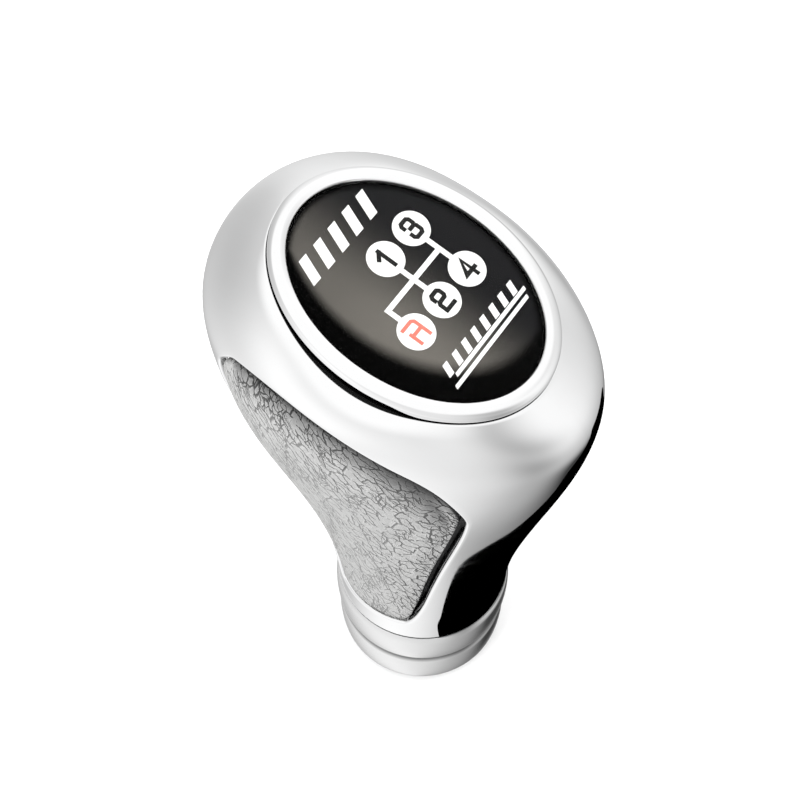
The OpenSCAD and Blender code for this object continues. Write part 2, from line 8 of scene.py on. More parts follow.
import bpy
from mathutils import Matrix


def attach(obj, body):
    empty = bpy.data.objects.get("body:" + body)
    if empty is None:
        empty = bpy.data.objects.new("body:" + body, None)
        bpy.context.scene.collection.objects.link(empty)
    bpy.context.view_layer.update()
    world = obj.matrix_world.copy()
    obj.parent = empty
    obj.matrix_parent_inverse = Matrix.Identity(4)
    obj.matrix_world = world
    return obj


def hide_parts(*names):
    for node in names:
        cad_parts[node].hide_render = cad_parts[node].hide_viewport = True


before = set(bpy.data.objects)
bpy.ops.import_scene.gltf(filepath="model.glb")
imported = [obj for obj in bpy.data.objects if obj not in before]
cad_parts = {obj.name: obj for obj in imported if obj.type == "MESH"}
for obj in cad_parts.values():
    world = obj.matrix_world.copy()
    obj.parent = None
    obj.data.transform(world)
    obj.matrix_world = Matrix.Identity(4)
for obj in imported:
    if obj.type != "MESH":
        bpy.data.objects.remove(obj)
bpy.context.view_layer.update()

# %% [markdown]
# ## Measures
# Blender counts in metres, and a knob is easier to think of in millimetres. So every measure of
# the knob is in millimetres here, and is multiplied by MM where it reaches a mesh.

# %% Libraries and the measures that several pieces share
from math import cos, pi, radians, sin

import bmesh
import bpy
import numpy as np
from mathutils import Matrix, Vector

MM = 0.001
BADGE_A, BADGE_B = 19.1, 14.3
BADGE_Y, BADGE_Z, TILT = 2.9, 99.4, radians(13.6)
BEZEL_W, LIP_UNDER, SKIRT_H = 2.5, -0.7, 1.6
SHELL_T, NECK_R, NECK_Z = 3.0, 14.4, 20.3
DIP, DIP_POWER = 1.7, 8
scene = bpy.context.scene
print("badge", 2 * BADGE_A, "by", 2 * BADGE_B, "mm")

# %% [markdown]
# ## The camera
# The photo looks down at the knob from the driver's left with a long lens. The camera's place was
# found by matching the badge's oval, the collar's rings and the outline, so it is given as an
# azimuth, an elevation, a small roll and a distance. It could also be aimed with a constraint, but
# three plain directions show better what the numbers do.

# %% Camera at the photo's viewing angle


def new_item(name, data):
    """An object at the origin, in the scene, that holds the given data."""
    item = bpy.data.objects.new(name, data)
    scene.collection.objects.link(item)
    return item


azimuth, elevation, roll = radians(-56.804), radians(58.784), radians(0.896)
LOOK_Z, RIGHT_SHIFT, UP_SHIFT, DISTANCE = 41.85, -4.094, 16.525, 279.0
away = Vector((sin(azimuth) * cos(elevation), -cos(azimuth) * cos(elevation), sin(elevation)))
level = Vector((cos(azimuth), sin(azimuth), 0))
rise = away.cross(level)
side = cos(roll) * level + sin(roll) * rise
head = -sin(roll) * level + cos(roll) * rise
spot = Vector((0, 0, LOOK_Z)) + side * RIGHT_SHIFT + head * UP_SHIFT + away * DISTANCE
camera = new_item("camera", bpy.data.cameras.new("camera"))
camera.data.sensor_width, camera.data.lens = 36.0, 77.74
camera.data.clip_start = 0.01
camera.matrix_world = Matrix.Translation(spot * MM) @ Matrix((side, head, away)).transposed().to_4x4()
scene.camera = camera
scene.view_settings.view_transform = "Standard"
print("camera at", [round(v, 1) for v in spot])

# %% [markdown]
# ## Helpers for shader maths
# A material is a small sum of numbers and colours. Wiring each Math node by hand hides that, so a
# socket is wrapped in a class that understands plus, minus, times and power, and all other nodes
# come from one method.

# %% A socket that can be used in a sum


class Reading:
    """One output of a node, usable in a sum with numbers and other outputs."""

    def __init__(self, finish, socket):
        self.finish, self.socket = finish, socket

    def math(self, operation, *others):
        """A Math node with this reading first, such as angle.math("SINE")."""
        return self.finish.make("ShaderNodeMath", dict(enumerate((self, *others))), operation=operation)

    def __add__(self, other):
        return self.math("ADD", other)

    def __sub__(self, other):
        return self.math("SUBTRACT", other)

    def __rsub__(self, other):
        return self.finish.make("ShaderNodeMath", {0: other, 1: self}, operation="SUBTRACT")

    def __mul__(self, other):
        return self.math("MULTIPLY", other)

    def __truediv__(self, other):
        return self.math("DIVIDE", other)

    def __pow__(self, other):
        return self.math("POWER", other)

    __radd__, __rmul__ = __add__, __mul__

    def ramp(self, low, high):
        """0 below low, 1 above high, smooth between them."""
        return self.finish.make("ShaderNodeMapRange", {"Value": self, "From Min": low, "From Max": high},
                                interpolation_type="SMOOTHSTEP")

    def larger(self, other):
        return self.math("MAXIMUM", other)

    def smaller(self, other):
        return self.math("MINIMUM", other)


# %% A finish: one material and the ways to add to it


class Finish:
    """A material that is built up node by node."""

    def __init__(self, name, **constants):
        self.material = bpy.data.materials.new(name)
        self.material.use_nodes = True
        self.tree = self.material.node_tree
        self.surface = self.tree.nodes["Principled BSDF"]
        for socket, value in constants.items():
            self.surface.inputs[socket.replace("_", " ")].default_value = value

    def make(self, kind, inputs=None, out=0, **settings):
        """A new node. Its settings come by name, and its inputs as numbers, colours or readings."""
        node = self.tree.nodes.new(kind)
        for key, value in settings.items():
            setattr(node, key, value)
        for key, value in (inputs or {}).items():
            if isinstance(value, Reading):
                self.tree.links.new(value.socket, node.inputs[key])
            else:
                node.inputs[key].default_value = value
        return Reading(self, node.outputs[out])

    def feed(self, socket, reading):
        self.tree.links.new(reading.socket, self.surface.inputs[socket])

    def place(self, scale=1.0, turn=(0, 0, 0), shift=(0, 0, 0)):
        """Object coordinates in millimetres, turned and moved about."""
        spots = self.make("ShaderNodeTexCoord", out="Object")
        stretch = scale if isinstance(scale, tuple) else (scale,) * 3
        return self.make("ShaderNodeMapping", {
            "Vector": spots, "Location": shift, "Rotation": turn,
            "Scale": tuple(1000 * s for s in stretch)})

    def noise(self, spots, scale, detail=3.0, rough=0.5):
        return self.make("ShaderNodeTexNoise", {
            "Vector": spots, "Scale": scale, "Detail": detail, "Roughness": rough}, "Fac")

    def split(self, spots):
        node = self.make("ShaderNodeSeparateXYZ", {0: spots}).socket.node
        return [Reading(self, out) for out in node.outputs]

    def blend(self, factor, low, high):
        return self.make("ShaderNodeMix", {0: factor, 6: low, 7: high}, 2, data_type="RGBA")

    def bump(self, height, depth_mm, strength=1.0):
        self.feed("Normal", self.make("ShaderNodeBump", {
            "Height": height, "Distance": depth_mm * MM, "Strength": strength}))


def rgb(r, g, b):
    return (r, g, b, 1)


def grey(value):
    return rgb(value, value, value)


# %% [markdown]
# ## Plated metal
# The shell and the ring are plated plastic, polished like a mirror. A perfect mirror looks like a
# computer made it, so faint wipe marks vary the roughness and very shallow waves of the moulding
# bend the reflections a little.

# %% Mirror plating for the shell and the ring
plating = Finish("mirror_plating", Metallic=1.0)
spots = plating.place()
smear = plating.noise(plating.place((1.0, 0.25, 1.0)), 0.35, 4.0)
fine = plating.noise(spots, 6.0, 2.0)
plating.feed("Base Color", plating.blend(smear, rgb(0.93, 0.93, 0.93), rgb(0.965, 0.968, 0.972)))
plating.feed("Roughness", 0.03 + 0.05 * smear.ramp(0.45, 0.8) + 0.015 * fine)
plating.bump(plating.noise(spots, 0.06, 1.0), 0.02, 0.35)
print("mirror plating is made of", len(plating.tree.nodes), "nodes")

# %% [markdown]
# The collar is turned metal with a softer plating. Fine turning marks run round it, so a wave
# along its height gives them, and its roughness is higher than the shell's. The valley between the
# ribs is painted dark in the base colour, as painted shade.

# %% Satin plating for the collar
COLLAR_H, RIBS, FOOT_ROUND = 20.0, 2, 1.6
satin = Finish("satin_plating", Metallic=1.0)
spots = satin.place()
_, _, height = satin.split(spots)
marks = satin.noise(satin.place((0.05, 0.05, 6.0)), 3.0, 3.0)
cloud = satin.noise(spots, 0.3, 2.0)
rib = ((height - FOOT_ROUND) * (RIBS * pi / (COLLAR_H - FOOT_ROUND))).math("SINE").math("ABSOLUTE")
inner_part = height.ramp(3.0, 6.0) * (1 - height.ramp(15.0, 18.0))
# Painted shade: the valleys between the ribs are painted dark in the base colour
valley_painted_shade = (1 - rib.ramp(0.0, 0.4)) * inner_part
plating_tone = satin.blend(cloud, grey(0.80), grey(0.85))
satin.feed("Base Color", satin.blend(valley_painted_shade, plating_tone, grey(0.14)))
satin.feed("Roughness", 0.12 + 0.06 * marks + 0.04 * cloud)
satin.bump(marks, 0.004, 0.5)
print("satin plating is made of", len(satin.tree.nodes), "nodes")

# %% [markdown]
# ## Leather
# The panels are pressed grey leather. Its grain is a net of fine creases that run down and toward
# the driver. A photo of leather could be used, but a rule has no seams and no size. Two steps make
# it: the side of the knob is unrolled to a flat sheet, from the angle round a middle line and the
# height, and the distance to the nearest wall of long, bent cells on that sheet tells how deep a
# spot lies in a crease. A crease has painted shade in the middle and a painted highlight on its
# lips. The creases are strong along the top and the front, where the hide was pulled over the edge,
# and calm low on the side. Painted shade darkens the hide along its top and front edges and at the
# front corner, and paints it dark where it rolls down into the groove, near black along the front.
# Both strengths are stored on the panel's points as attributes.

# %% The side of the knob as a flat sheet, turned so that its first direction follows the creases
AXIS_Y, MEAN_R = 7.0, 22.0
RISE_SHARE, INWARD_SHARE, CREASE_TURN = 0.45, 0.7, radians(-33)
leather = Finish("grey_leather", Specular_IOR_Level=0.35)
raw = leather.place()
sideways, forward, height = leather.split(raw)
forward = forward - AXIS_Y
around = forward.math("ARCTAN2", sideways.math("ABSOLUTE")) * MEAN_R
inward = (sideways ** 2 + forward ** 2) ** 0.5 * -INWARD_SHARE
unrolled = leather.make("ShaderNodeCombineXYZ", {0: around, 1: height * RISE_SHARE + inward})
hide = leather.make("ShaderNodeMapping", {"Vector": unrolled, "Rotation": (0, 0, CREASE_TURN)})

# %% Ways to bend, stretch and crease the sheet


def wandering(spots, scale, reach):
    """Spots moved about by a coloured noise, so that straight cells become natural."""
    noise = leather.make("ShaderNodeTexNoise", {"Vector": spots, "Scale": scale, "Detail": 2.0}, "Color")
    centred = leather.make("ShaderNodeVectorMath", {0: noise, 1: (0.5, 0.5, 0.5)}, operation="SUBTRACT")
    return leather.make("ShaderNodeVectorMath", {0: centred, 1: (reach, reach, reach), 2: spots},
                        operation="MULTIPLY_ADD")


def stretched(spots, share):
    """Spots drawn out along the direction in which the hide was pulled."""
    return leather.make("ShaderNodeMapping", {"Vector": spots, "Scale": (share, 1.0, 1.0)})


def to_cell_wall(spots, scale, width):
    """How far the nearest wall of a net of cells is, counted in crease widths."""
    return leather.make("ShaderNodeTexVoronoi", {"Vector": spots, "Scale": scale}, "Distance",
                        voronoi_dimensions="2D", feature="DISTANCE_TO_EDGE") / width


def stored(mark):
    """A value that is stored on the points of the mesh."""
    return leather.make("ShaderNodeAttribute", out="Fac", attribute_name=mark)


# %% Two nets of creases: a long one that is broken here and there, and a fine one in some places
bent = wandering(wandering(hide, 0.3, 1.8), 1.8, 0.4)
broken = leather.noise(stretched(hide, 0.5), 0.9, 3.0, 0.6).ramp(0.34, 0.44)
sparse = leather.noise(hide, 0.28, 2.0).ramp(0.35, 0.65)
long_net = to_cell_wall(stretched(bent, 0.24), 1.6, 0.08) + (1 - broken) * 3.0
fine_net = to_cell_wall(stretched(wandering(bent, 4.0, 0.12), 0.42), 2.1, 0.10) + (1 - sparse) * 1.7
nearest = long_net.smaller(fine_net)
creased, shade = stored("creased"), stored("shade")
deep = 0.35 + 0.65 * creased
crack = (1 - nearest.ramp(0.0, 1.3)) * deep
lip = (1 - nearest.ramp(1.1, 2.8)) * deep - crack

# %% Tone, gloss and relief of the hide
pores = leather.noise(raw, 4.0, 3.0, 0.6)
folds = leather.noise(stretched(bent, 0.3), 0.9, 2.0)
skin_tone = leather.blend(pores, rgb(0.295, 0.295, 0.292), rgb(0.34, 0.34, 0.337))
# Painted highlight on the crease lips, painted shade in the creases, and the stored painted shade near
# the edges and in the groove
with_lip_highlight = leather.blend(lip.larger(0.0) * 0.5, skin_tone, rgb(0.55, 0.55, 0.547))
with_crease_shade = leather.blend(crack, with_lip_highlight, rgb(0.02, 0.02, 0.02))
leather.feed("Base Color", leather.blend(shade, with_crease_shade, rgb(0.010, 0.010, 0.0105)))
leather.feed("Roughness", 0.6 + 0.1 * crack + 0.1 * pores)
leather.bump((pores * 0.12 + lip * 0.2 - crack + folds * 0.6 * creased) * (1 - shade), 0.3, 1.0)
print("leather is made of", len(leather.tree.nodes), "nodes")

# %% [markdown]
# ## Badge finishes
# The plate's colour runs from charcoal on the right to a warm light grey toward the driver's left,
# a little darker toward the rear, and its border is printed black. The border is wider on the
# driver's left, where the domed resin bends more of it into view. The gradient follows the plate's
# own width and length.

# %% Enamel of the badge plate
enamel = Finish("badge_enamel", Roughness=0.5, Specular_IOR_Level=0.0)
turned = enamel.place(turn=(-TILT, 0, 0))
flat_y = BADGE_Y * cos(TILT) + BADGE_Z * sin(TILT)
across, along, _ = enamel.split(turned)
along = along - flat_y
reach = ((across / BADGE_B) ** 2 + (along / BADGE_A) ** 2) ** 0.5
toward_left = 1 - across.ramp(-7.0, 8.0)
toward_rear = along.ramp(-2.0, 12.0)
wide = (0.008 - across * 0.017 - along * 0.0065).larger(0.0)
border = (reach + wide).ramp(0.93 - wide, 0.99)
fleck = enamel.noise(turned, 0.4, 2.0)
ground = enamel.blend(toward_left ** 1.3 * (1 - 0.28 * toward_rear) * (0.97 + 0.06 * fleck),
                      rgb(0.011, 0.011, 0.012), rgb(0.142, 0.133, 0.121))
enamel.feed("Base Color", enamel.blend(border, ground, grey(0.0015)))
print("enamel is made of", len(enamel.tree.nodes), "nodes")

# %% [markdown]
# The print is screen ink: a white for the gate and the bars, black numbers and a red letter. Ink
# under resin has no gloss of its own, so only its tone varies a little, as its layer is never even.

# %% Three inks


def ink(name, scale, low, high):
    """A dull print whose tone varies with one fine noise."""
    finish = Finish(name, Roughness=0.5, Specular_IOR_Level=0.0)
    finish.feed("Base Color", finish.blend(finish.noise(finish.place(), scale), low, high))
    return finish


white_ink = ink("white_ink", 4.0, grey(0.90), grey(0.97))
red_ink = ink("red_ink", 5.0, rgb(0.80, 0.17, 0.13), rgb(0.86, 0.25, 0.20))
black_ink = ink("black_ink", 5.0, grey(0.012), grey(0.03))
print("inks", [each.material.name for each in (white_ink, red_ink, black_ink)])

# %% [markdown]
# The dome is clear resin. Real refraction would make the print noisy and dark under soft light,
# and the resin is less than 3 mm thick, so a clear coat that only reflects is mixed over a
# transparent body. Its share grows toward a glancing view, as on any clear skin, and is small
# where the dome is seen from above, as a studio keeps the lamps out of the badge.

# %% Clear resin
resin = Finish("clear_resin", Roughness=0.02)
clear = resin.make("ShaderNodeBsdfTransparent", {"Color": rgb(0.985, 0.985, 0.98)})
gloss = resin.make("ShaderNodeBsdfGlossy", {"Color": grey(1.0), "Roughness": 0.015})
ratio = resin.make("ShaderNodeFresnel", {"IOR": 1.5})
seen = (ratio - 0.05).larger(0.0) * 0.3 + 0.001
mixed = resin.make("ShaderNodeMixShader", {0: seen, 1: clear, 2: gloss})
resin.tree.links.new(mixed.socket, resin.tree.nodes["Material Output"].inputs["Surface"])
print("clear resin is made of", len(resin.tree.nodes), "nodes")

# %% [markdown]
# ## Finishes of the pieces inside
# Moulded plastic, foam, brass, aluminium, steel and rubber. Most of them show only through a gap
# or when the collar is unscrewed, but each has its own small variation.

# %% Plastics, foam and rubber


def mottled(name, low, high, rough, scale, bump_mm, **constants):
    """A finish whose tone, gloss and surface vary with one fine noise."""
    finish = Finish(name, **constants)
    grain = finish.noise(finish.place(), scale, 4.0)
    finish.feed("Base Color", finish.blend(grain, low, high))
    finish.feed("Roughness", rough + 0.12 * grain)
    finish.bump(grain, bump_mm)
    return finish


moulded = mottled("moulded_black", grey(0.008), grey(0.016), 0.5, 3.0, 0.01)
gloss_black = mottled("gloss_black", grey(0.003), grey(0.006), 0.1, 2.0, 0.002)
foam = mottled("white_foam", grey(0.62), grey(0.85), 0.8, 4.0, 0.08)
rubber = mottled("black_rubber", grey(0.010), grey(0.022), 0.6, 5.0, 0.02)
print("soft and moulded finishes", [each.material.name for each in (moulded, gloss_black, foam, rubber)])

# %% Turned metals
dull_gold, gold = rgb(0.62, 0.42, 0.16), rgb(0.78, 0.56, 0.24)
brass = mottled("turned_brass", dull_gold, gold, 0.2, 0.8, 0.003, Metallic=1.0)
steel = mottled("dark_steel", grey(0.12), grey(0.22), 0.3, 2.0, 0.004, Metallic=1.0)
alloy = mottled("turned_alloy", grey(0.62), grey(0.74), 0.28, 1.5, 0.004, Metallic=1.0)
print("metals", [each.material.name for each in (brass, steel, alloy)])

# %% [markdown]
# ## Pieces that stay as the CAD model made them
# What lies inside the knob, and the flat print, already has its true shape in the CAD model. It
# only needs a finish: a dictionary names one for each node.

# %% Finishes of the CAD nodes
KEPT = {
    "grip_core": moulded, "badge_tray": gloss_black, "tray_screws": steel, "badge_foam_pad": foam,
    "badge_plate": enamel, "shift_gate_print": white_ink, "stripe_print": white_ink,
    "left_insert_carrier": moulded, "right_insert_carrier": moulded, "left_foam_layer": foam,
    "right_foam_layer": foam, "grub_screws": steel, "adapter_sleeve": alloy,
    "lever_buffer": rubber, "collar_o_ring": rubber}
for node, finish in KEPT.items():
    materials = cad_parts[node].data.materials
    materials.clear()
    materials.append(finish.material)
print("finished CAD nodes", len(KEPT))

# %% [markdown]
# ## The form of the head
# The head is one surface. Three guide lines climb it from the neck band over the widest line to
# the rim: one up the side, one up the nose toward the driver and one up the rear. Every point is
# named by an angle round the head (-90 at the nose, 0 at the side, 90 at the rear) and by a
# height number t (0 at the neck, 1 at the widest line, 2 at the rim). A subdivision surface could
# be pulled to this shape by eye; guide lines give the same surface to every piece on it.

# %% Guide lines


def cubic(p, q, r, s, t):
    return (1 - t) ** 3 * p + 3 * (1 - t) ** 2 * t * q + 3 * (1 - t) * t * t * r + t ** 3 * s


def badge_point(along, up):
    return np.array([BADGE_Y + along * cos(TILT) - up * sin(TILT),
                     BADGE_Z + along * sin(TILT) + up * cos(TILT)])


STEPS = np.linspace(0, 2, 801)


def guide(neck, belly, rim, out, fullness):
    """A line of [reach, height] points, sampled at STEPS and eased over the widest line."""
    neck, belly, rim, out = (np.array(v, float) for v in (neck, belly, rim, out))
    low, high, run = belly[1] - neck[1], rim[1] - belly[1], abs(belly[0] - rim[0])
    t = STEPS[:, None]
    line = np.where(
        t <= 1,
        cubic(neck, neck + [0, fullness[0] * low], belly - [0, fullness[1] * low], belly, t),
        cubic(belly, belly + [0, fullness[2] * high], rim + fullness[3] * run * out, rim, t - 1))
    return eased(line)


def eased(line, reach=0.07):
    """Smooths a sampled line so that mirror reflections run on without a kink."""
    line = line.reshape(len(line), -1)
    count = int(3 * reach / (STEPS[1] - STEPS[0]))
    weights = np.exp(-0.5 * (np.arange(-count, count + 1) / (count / 3)) ** 2)
    weights /= weights.sum()
    before = 2 * line[0] - line[count:0:-1]
    after = 2 * line[-1] - line[-2:-count - 2:-1]
    longer = np.concatenate([before, line, after])
    return np.stack([np.convolve(column, weights, "valid") for column in longer.T], 1)


RIM_A, RIM_B = BADGE_A + BEZEL_W, BADGE_B + BEZEL_W
rim_up = LIP_UNDER - 0.3
fall, flat = -sin(radians(20)), cos(radians(20))
forward = np.array([cos(TILT), sin(TILT)])
rim_y, rim_z = badge_point(0, rim_up)
side_guide = guide([NECK_R, NECK_Z], [23.4, 89.4], [RIM_B, rim_z], [flat, fall],
                   (0.55, 0.25, 0.54, 0.56))
nose_guide = guide([-NECK_R, NECK_Z], [-25.6, 84.8], badge_point(-RIM_A, rim_up),
                   -forward * flat + [0, fall], (0.38, 0.21, 0.58, 0.72))
rear_guide = guide([NECK_R, NECK_Z], [33.4, 93.7], badge_point(RIM_A, rim_up),
                   forward * flat + [0, fall], (0.38, 0.28, 0.56, 0.46))
WIDEST_Y = 7.7
ease = lambda u: 3 * (1 - u) * u * u + u ** 3
side_place = eased(np.where(STEPS <= 1, WIDEST_Y * ease(STEPS),
                            WIDEST_Y + (rim_y - WIDEST_Y) * ease(STEPS - 1)))
print("guide lines of", len(STEPS), "points")

# %% The skin of the head, its outward direction, and points below it


def read(line, t):
    return np.stack([np.interp(t, STEPS, column) for column in line.T], -1)


def skin(angle, t):
    """Points of the surface. The rim dips at both sides, so that the ring's shadow shows there."""
    angle, t = np.broadcast_arrays(np.asarray(angle, float), np.asarray(t, float))
    s, c = np.sin(np.radians(angle)), np.cos(np.radians(angle))
    (out, up), (nose_y, nose_z), (rear_y, rear_z) = (
        np.moveaxis(read(line, t), -1, 0) for line in (side_guide, nose_guide, rear_guide))
    y = read(side_place, t)[..., 0]
    dip = np.where(t <= 1, 0, DIP * np.abs(c) ** DIP_POWER * (t - 1) ** 2 * (5 - 2 * t))
    return np.stack([
        out * c,
        y + (rear_y - nose_y) / 2 * s + ((rear_y + nose_y) / 2 - y) * s * s,
        up + (rear_z - nose_z) / 2 * s + ((rear_z + nose_z) / 2 - up) * s * s - dip], -1)


def steps_on(angle, t):
    """The skin's own steps for one degree round and for one unit of t."""
    low, high = np.clip(t - 0.01, 0, 2), np.clip(t + 0.01, 0, 2)
    return (skin(angle + 0.5, t) - skin(angle - 0.5, t),
            (skin(angle, high) - skin(angle, low)) / (high - low)[..., None])


def outward(angle, t):
    normal = np.cross(*steps_on(angle, t))
    return normal / np.linalg.norm(normal, axis=-1, keepdims=True)


def below(spots, depth):
    """Points under the skin. spots holds (angle, t) pairs."""
    angle, t = spots[..., 0], spots[..., 1]
    return skin(angle, t) - np.asarray(depth)[..., None] * outward(angle, t)


print("head is", round(2 * float(skin(0, 1.0)[0]), 1), "mm wide")

# %% [markdown]
# ## The windows
# Each side window is a loop of four cubic edges with rounded corners, drawn in angle and t. The
# leather panel is the same loop moved inward by a true distance on the surface, so that the dark
# gap round it is even where it should be, and widens along the front, as on the real knob.

# %% The window's loop
CORNERS = np.array([[-28, 0.06], [42, 0.06], [26, 1.27], [-47.6, 0.834]])
ROUNDING = [0.12, 0.16, 0.03, 0.15]
PULLS = np.array([[[-8, 0.045], [20, 0.045]], [[40, 0.5], [33, 0.9]],
                  [[11.2, 1.5], [-12, 1.585]], [[-50.3, 0.723], [-46.7, 0.323]]])
SEGMENTS = [42, 66, 60, 66]
HALF_CORNER = 7


def window_edge(i, u):
    return cubic(CORNERS[i], PULLS[i][0], PULLS[i][1], CORNERS[(i + 1) % 4], u)


def window_corner(i, q):
    f = ROUNDING[i]
    return ((1 - q) ** 2 * window_edge((i + 3) % 4, 1 - f) + 2 * q * (1 - q) * CORNERS[i]
            + q * q * window_edge(i, f))


def window_point(i, j):
    n, e = SEGMENTS[i], (i + 1) % 4
    if j < HALF_CORNER:
        return window_corner(i, 0.5 + 0.5 * j / HALF_CORNER)
    if j > n - HALF_CORNER:
        return window_corner(e, 0.5 - 0.5 * (n - j) / HALF_CORNER)
    f = (j - HALF_CORNER) / (n - 2 * HALF_CORNER)
    return window_edge(i, ROUNDING[i] * (1 - f) + (1 - ROUNDING[e]) * f)


window = np.array([window_point(i, j) for i in range(4) for j in range(SEGMENTS[i])])
LOOP = len(window)
print("window loop of", LOOP, "points")

# %% Moving the loop inward by a true distance


def moved_in(gap):
    """The window's loop, moved gap millimetres into the window along the skin."""
    gap = np.broadcast_to(gap, LOOP)[:, None]
    angle, t = window[:, 0], window[:, 1]
    along = skin(*np.roll(window, -1, 0).T) - skin(*np.roll(window, 1, 0).T)
    inward = np.cross(outward(angle, t), along)
    inward *= gap / np.linalg.norm(inward, axis=1, keepdims=True)
    e, f = steps_on(angle, t)
    dot = lambda a, b: (a * b).sum(1)
    ee, ef, ff, de, df = dot(e, e), dot(e, f), dot(f, f), dot(inward, e), dot(inward, f)
    det = ee * ff - ef * ef
    return window + np.stack([(de * ff - df * ef) / det, (df * ee - de * ef) / det], 1)


# %% [markdown]
# ## Making pieces
# Screw holes are cut with a Boolean, and the result is kept as a plain mesh.

# %% Helpers for meshes


JOIN = 1e-7


def cleaned(mesh, reach=JOIN):
    """Joins points that meet and turns every face outward."""
    work = bmesh.new()
    work.from_mesh(mesh)
    bmesh.ops.remove_doubles(work, verts=work.verts, dist=reach)
    bmesh.ops.recalc_face_normals(work, faces=work.faces)
    work.to_mesh(mesh)
    work.free()


def evaluated(item):
    """The mesh that an object's modifiers make."""
    return bpy.data.meshes.new_from_object(item.evaluated_get(bpy.context.evaluated_depsgraph_get()))


def handed_over(item, body, node):
    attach(item, body)
    if node:
        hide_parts(node)
    mesh = item.data
    print(item.name, len(mesh.vertices), "points", len(mesh.polygons), "faces")
    return item


def piece(name, points, faces, finish, node=None, merge=None, sharp=None, marks=None,
          holes=None):
    """A smooth mesh on the knob. marks are values stored on its points, holes are drilled."""
    mesh = bpy.data.meshes.new(name)
    mesh.from_pydata((np.asarray(points, float) * MM).tolist(), [], [list(map(int, f)) for f in faces])
    for mark, values in (marks or {}).items():
        mesh.attributes.new(mark, "FLOAT", "POINT").data.foreach_set("value", np.asarray(values, float))
    if merge or sharp is not None:
        cleaned(mesh, merge or JOIN)
    mesh.polygons.foreach_set("use_smooth", [True] * len(mesh.polygons))
    if sharp is not None:
        mesh.set_sharp_from_angle(angle=radians(sharp))
    mesh.materials.append(finish.material)
    item = new_item(name, mesh)
    if holes:
        drill(item, *holes)
    return handed_over(item, "knob", node)


def drill(item, radius, depth, spots):
    """Cuts round holes: each spot is (angle round the lever, inner reach, height)."""
    work = bmesh.new()
    for angle, reach, height in spots:
        middle = Matrix.Rotation(angle, 4, "Z") @ Matrix.Translation(
            ((reach + depth / 2) * MM, 0, height * MM)) @ Matrix.Rotation(pi / 2, 4, "Y")
        bmesh.ops.create_cone(work, cap_ends=True, segments=48, radius1=radius * MM,
                              radius2=radius * MM, depth=depth * MM, matrix=middle)
    pins = bpy.data.meshes.new("pins")
    work.to_mesh(pins)
    work.free()
    cutter = new_item("pins", pins)
    cut = item.modifiers.new("holes", "BOOLEAN")
    cut.operation, cut.solver, cut.object = "DIFFERENCE", "EXACT", cutter
    plain = evaluated(item)
    item.modifiers.clear()
    item.data = plain
    bpy.data.objects.remove(cutter)


def strip_faces(rows, count):
    """Quads between closed rows of count points each, the rows stored one after another."""
    return [(r * count + k, r * count + (k + 1) % count, (r + 1) * count + (k + 1) % count,
             (r + 1) * count + k) for r in range(rows - 1) for k in range(count)]


def fans(rows, count):
    """Faces that close the first and the last row. Their two middle points are stored last."""
    last, middle = (rows - 1) * count, rows * count
    return ([(middle, (k + 1) % count, k) for k in range(count)]
            + [(middle + 1, last + k, last + (k + 1) % count) for k in range(count)])


# %% [markdown]
# ## The plated shell
# The shell is modelled as two mirrored halves. Each half is a band of rings that spreads from the
# window's loop to the half's outer border: along the neck, up the rear seam, round the rim and
# down the nose seam. The window's edge and the rim are rounded over, as plating always is.

# %% The outer border of one half, and the depths of the window's edge
BELLY_SHARE, EDGE, STEP_DEPTH = 0.68, 0.45, 1.6


def row_t(s):
    """A share of the way up a seam, as t."""
    return np.where(s < BELLY_SHARE, s / BELLY_SHARE, 1 + (s - BELLY_SHARE) / (1 - BELLY_SHARE))


def border_point(i, s):
    return ([-90 + 180 * s, 0], [90, float(row_t(s))], [90 - 180 * s, 2], [-90, float(row_t(1 - s))])[i]


border = np.array([border_point(i, j / SEGMENTS[i]) for i in range(4) for j in range(SEGMENTS[i])])


def ring_at(spots, depth):
    """One ring of points at the same depth below the skin."""
    return below(spots, np.full(LOOP, depth))


def between(first, last, share):
    return first * (1 - share) + last * share


# %% Rings of one half, from the window's edge over the outside to the border and back inside
ROUND_ROWS, OUTSIDE_ROWS = 6, 24
rings = [ring_at(window, SHELL_T), ring_at(window, STEP_DEPTH)]
for turn in np.radians(np.linspace(0, 90, ROUND_ROWS)):
    rings.append(ring_at(moved_in(-EDGE * (1 - cos(turn))), EDGE * (1 - sin(turn))))
for f in np.linspace(0, 1, OUTSIDE_ROWS + 1)[1:] ** 1.15:
    rings.append(ring_at(between(moved_in(-EDGE), border, f), 0))
outer_border = len(rings) - 1
rings.append(ring_at(border, SHELL_T))
rings += [ring_at(between(border, window, f), SHELL_T) for f in np.linspace(0, 1, 9)[1:-1]]
half = np.concatenate(rings)
print("one half has", len(rings), "rings")

# %% Both halves, open to each other along the seam
on_seam = np.isin(np.arange(LOOP), np.r_[SEGMENTS[0]:SEGMENTS[0] + SEGMENTS[1] + 1,
                                         sum(SEGMENTS[:3]):LOOP, 0])
faces = strip_faces(len(rings), LOOP)
last = (len(rings) - 1) * LOOP
faces += [(last + k, last + (k + 1) % LOOP, (k + 1) % LOOP, k) for k in range(LOOP)]
seam_quads = {outer_border * LOOP + k for k in range(LOOP) if on_seam[k] and on_seam[(k + 1) % LOOP]}
faces = [f for f in faces if not (f[0] in seam_quads and f[3] == f[0] + LOOP)]
for row in (outer_border, outer_border + 1):
    half[row * LOOP:(row + 1) * LOOP][on_seam, 0] = 0
other = half * [-1, 1, 1]
shell = piece("plated_shell", np.concatenate([half, other]),
              faces + [tuple(v + len(half) for v in f[::-1]) for f in faces],
              plating, node="chrome_shell", merge=2e-6)
rounding = shell.modifiers.new("rim rounding", "BEVEL")
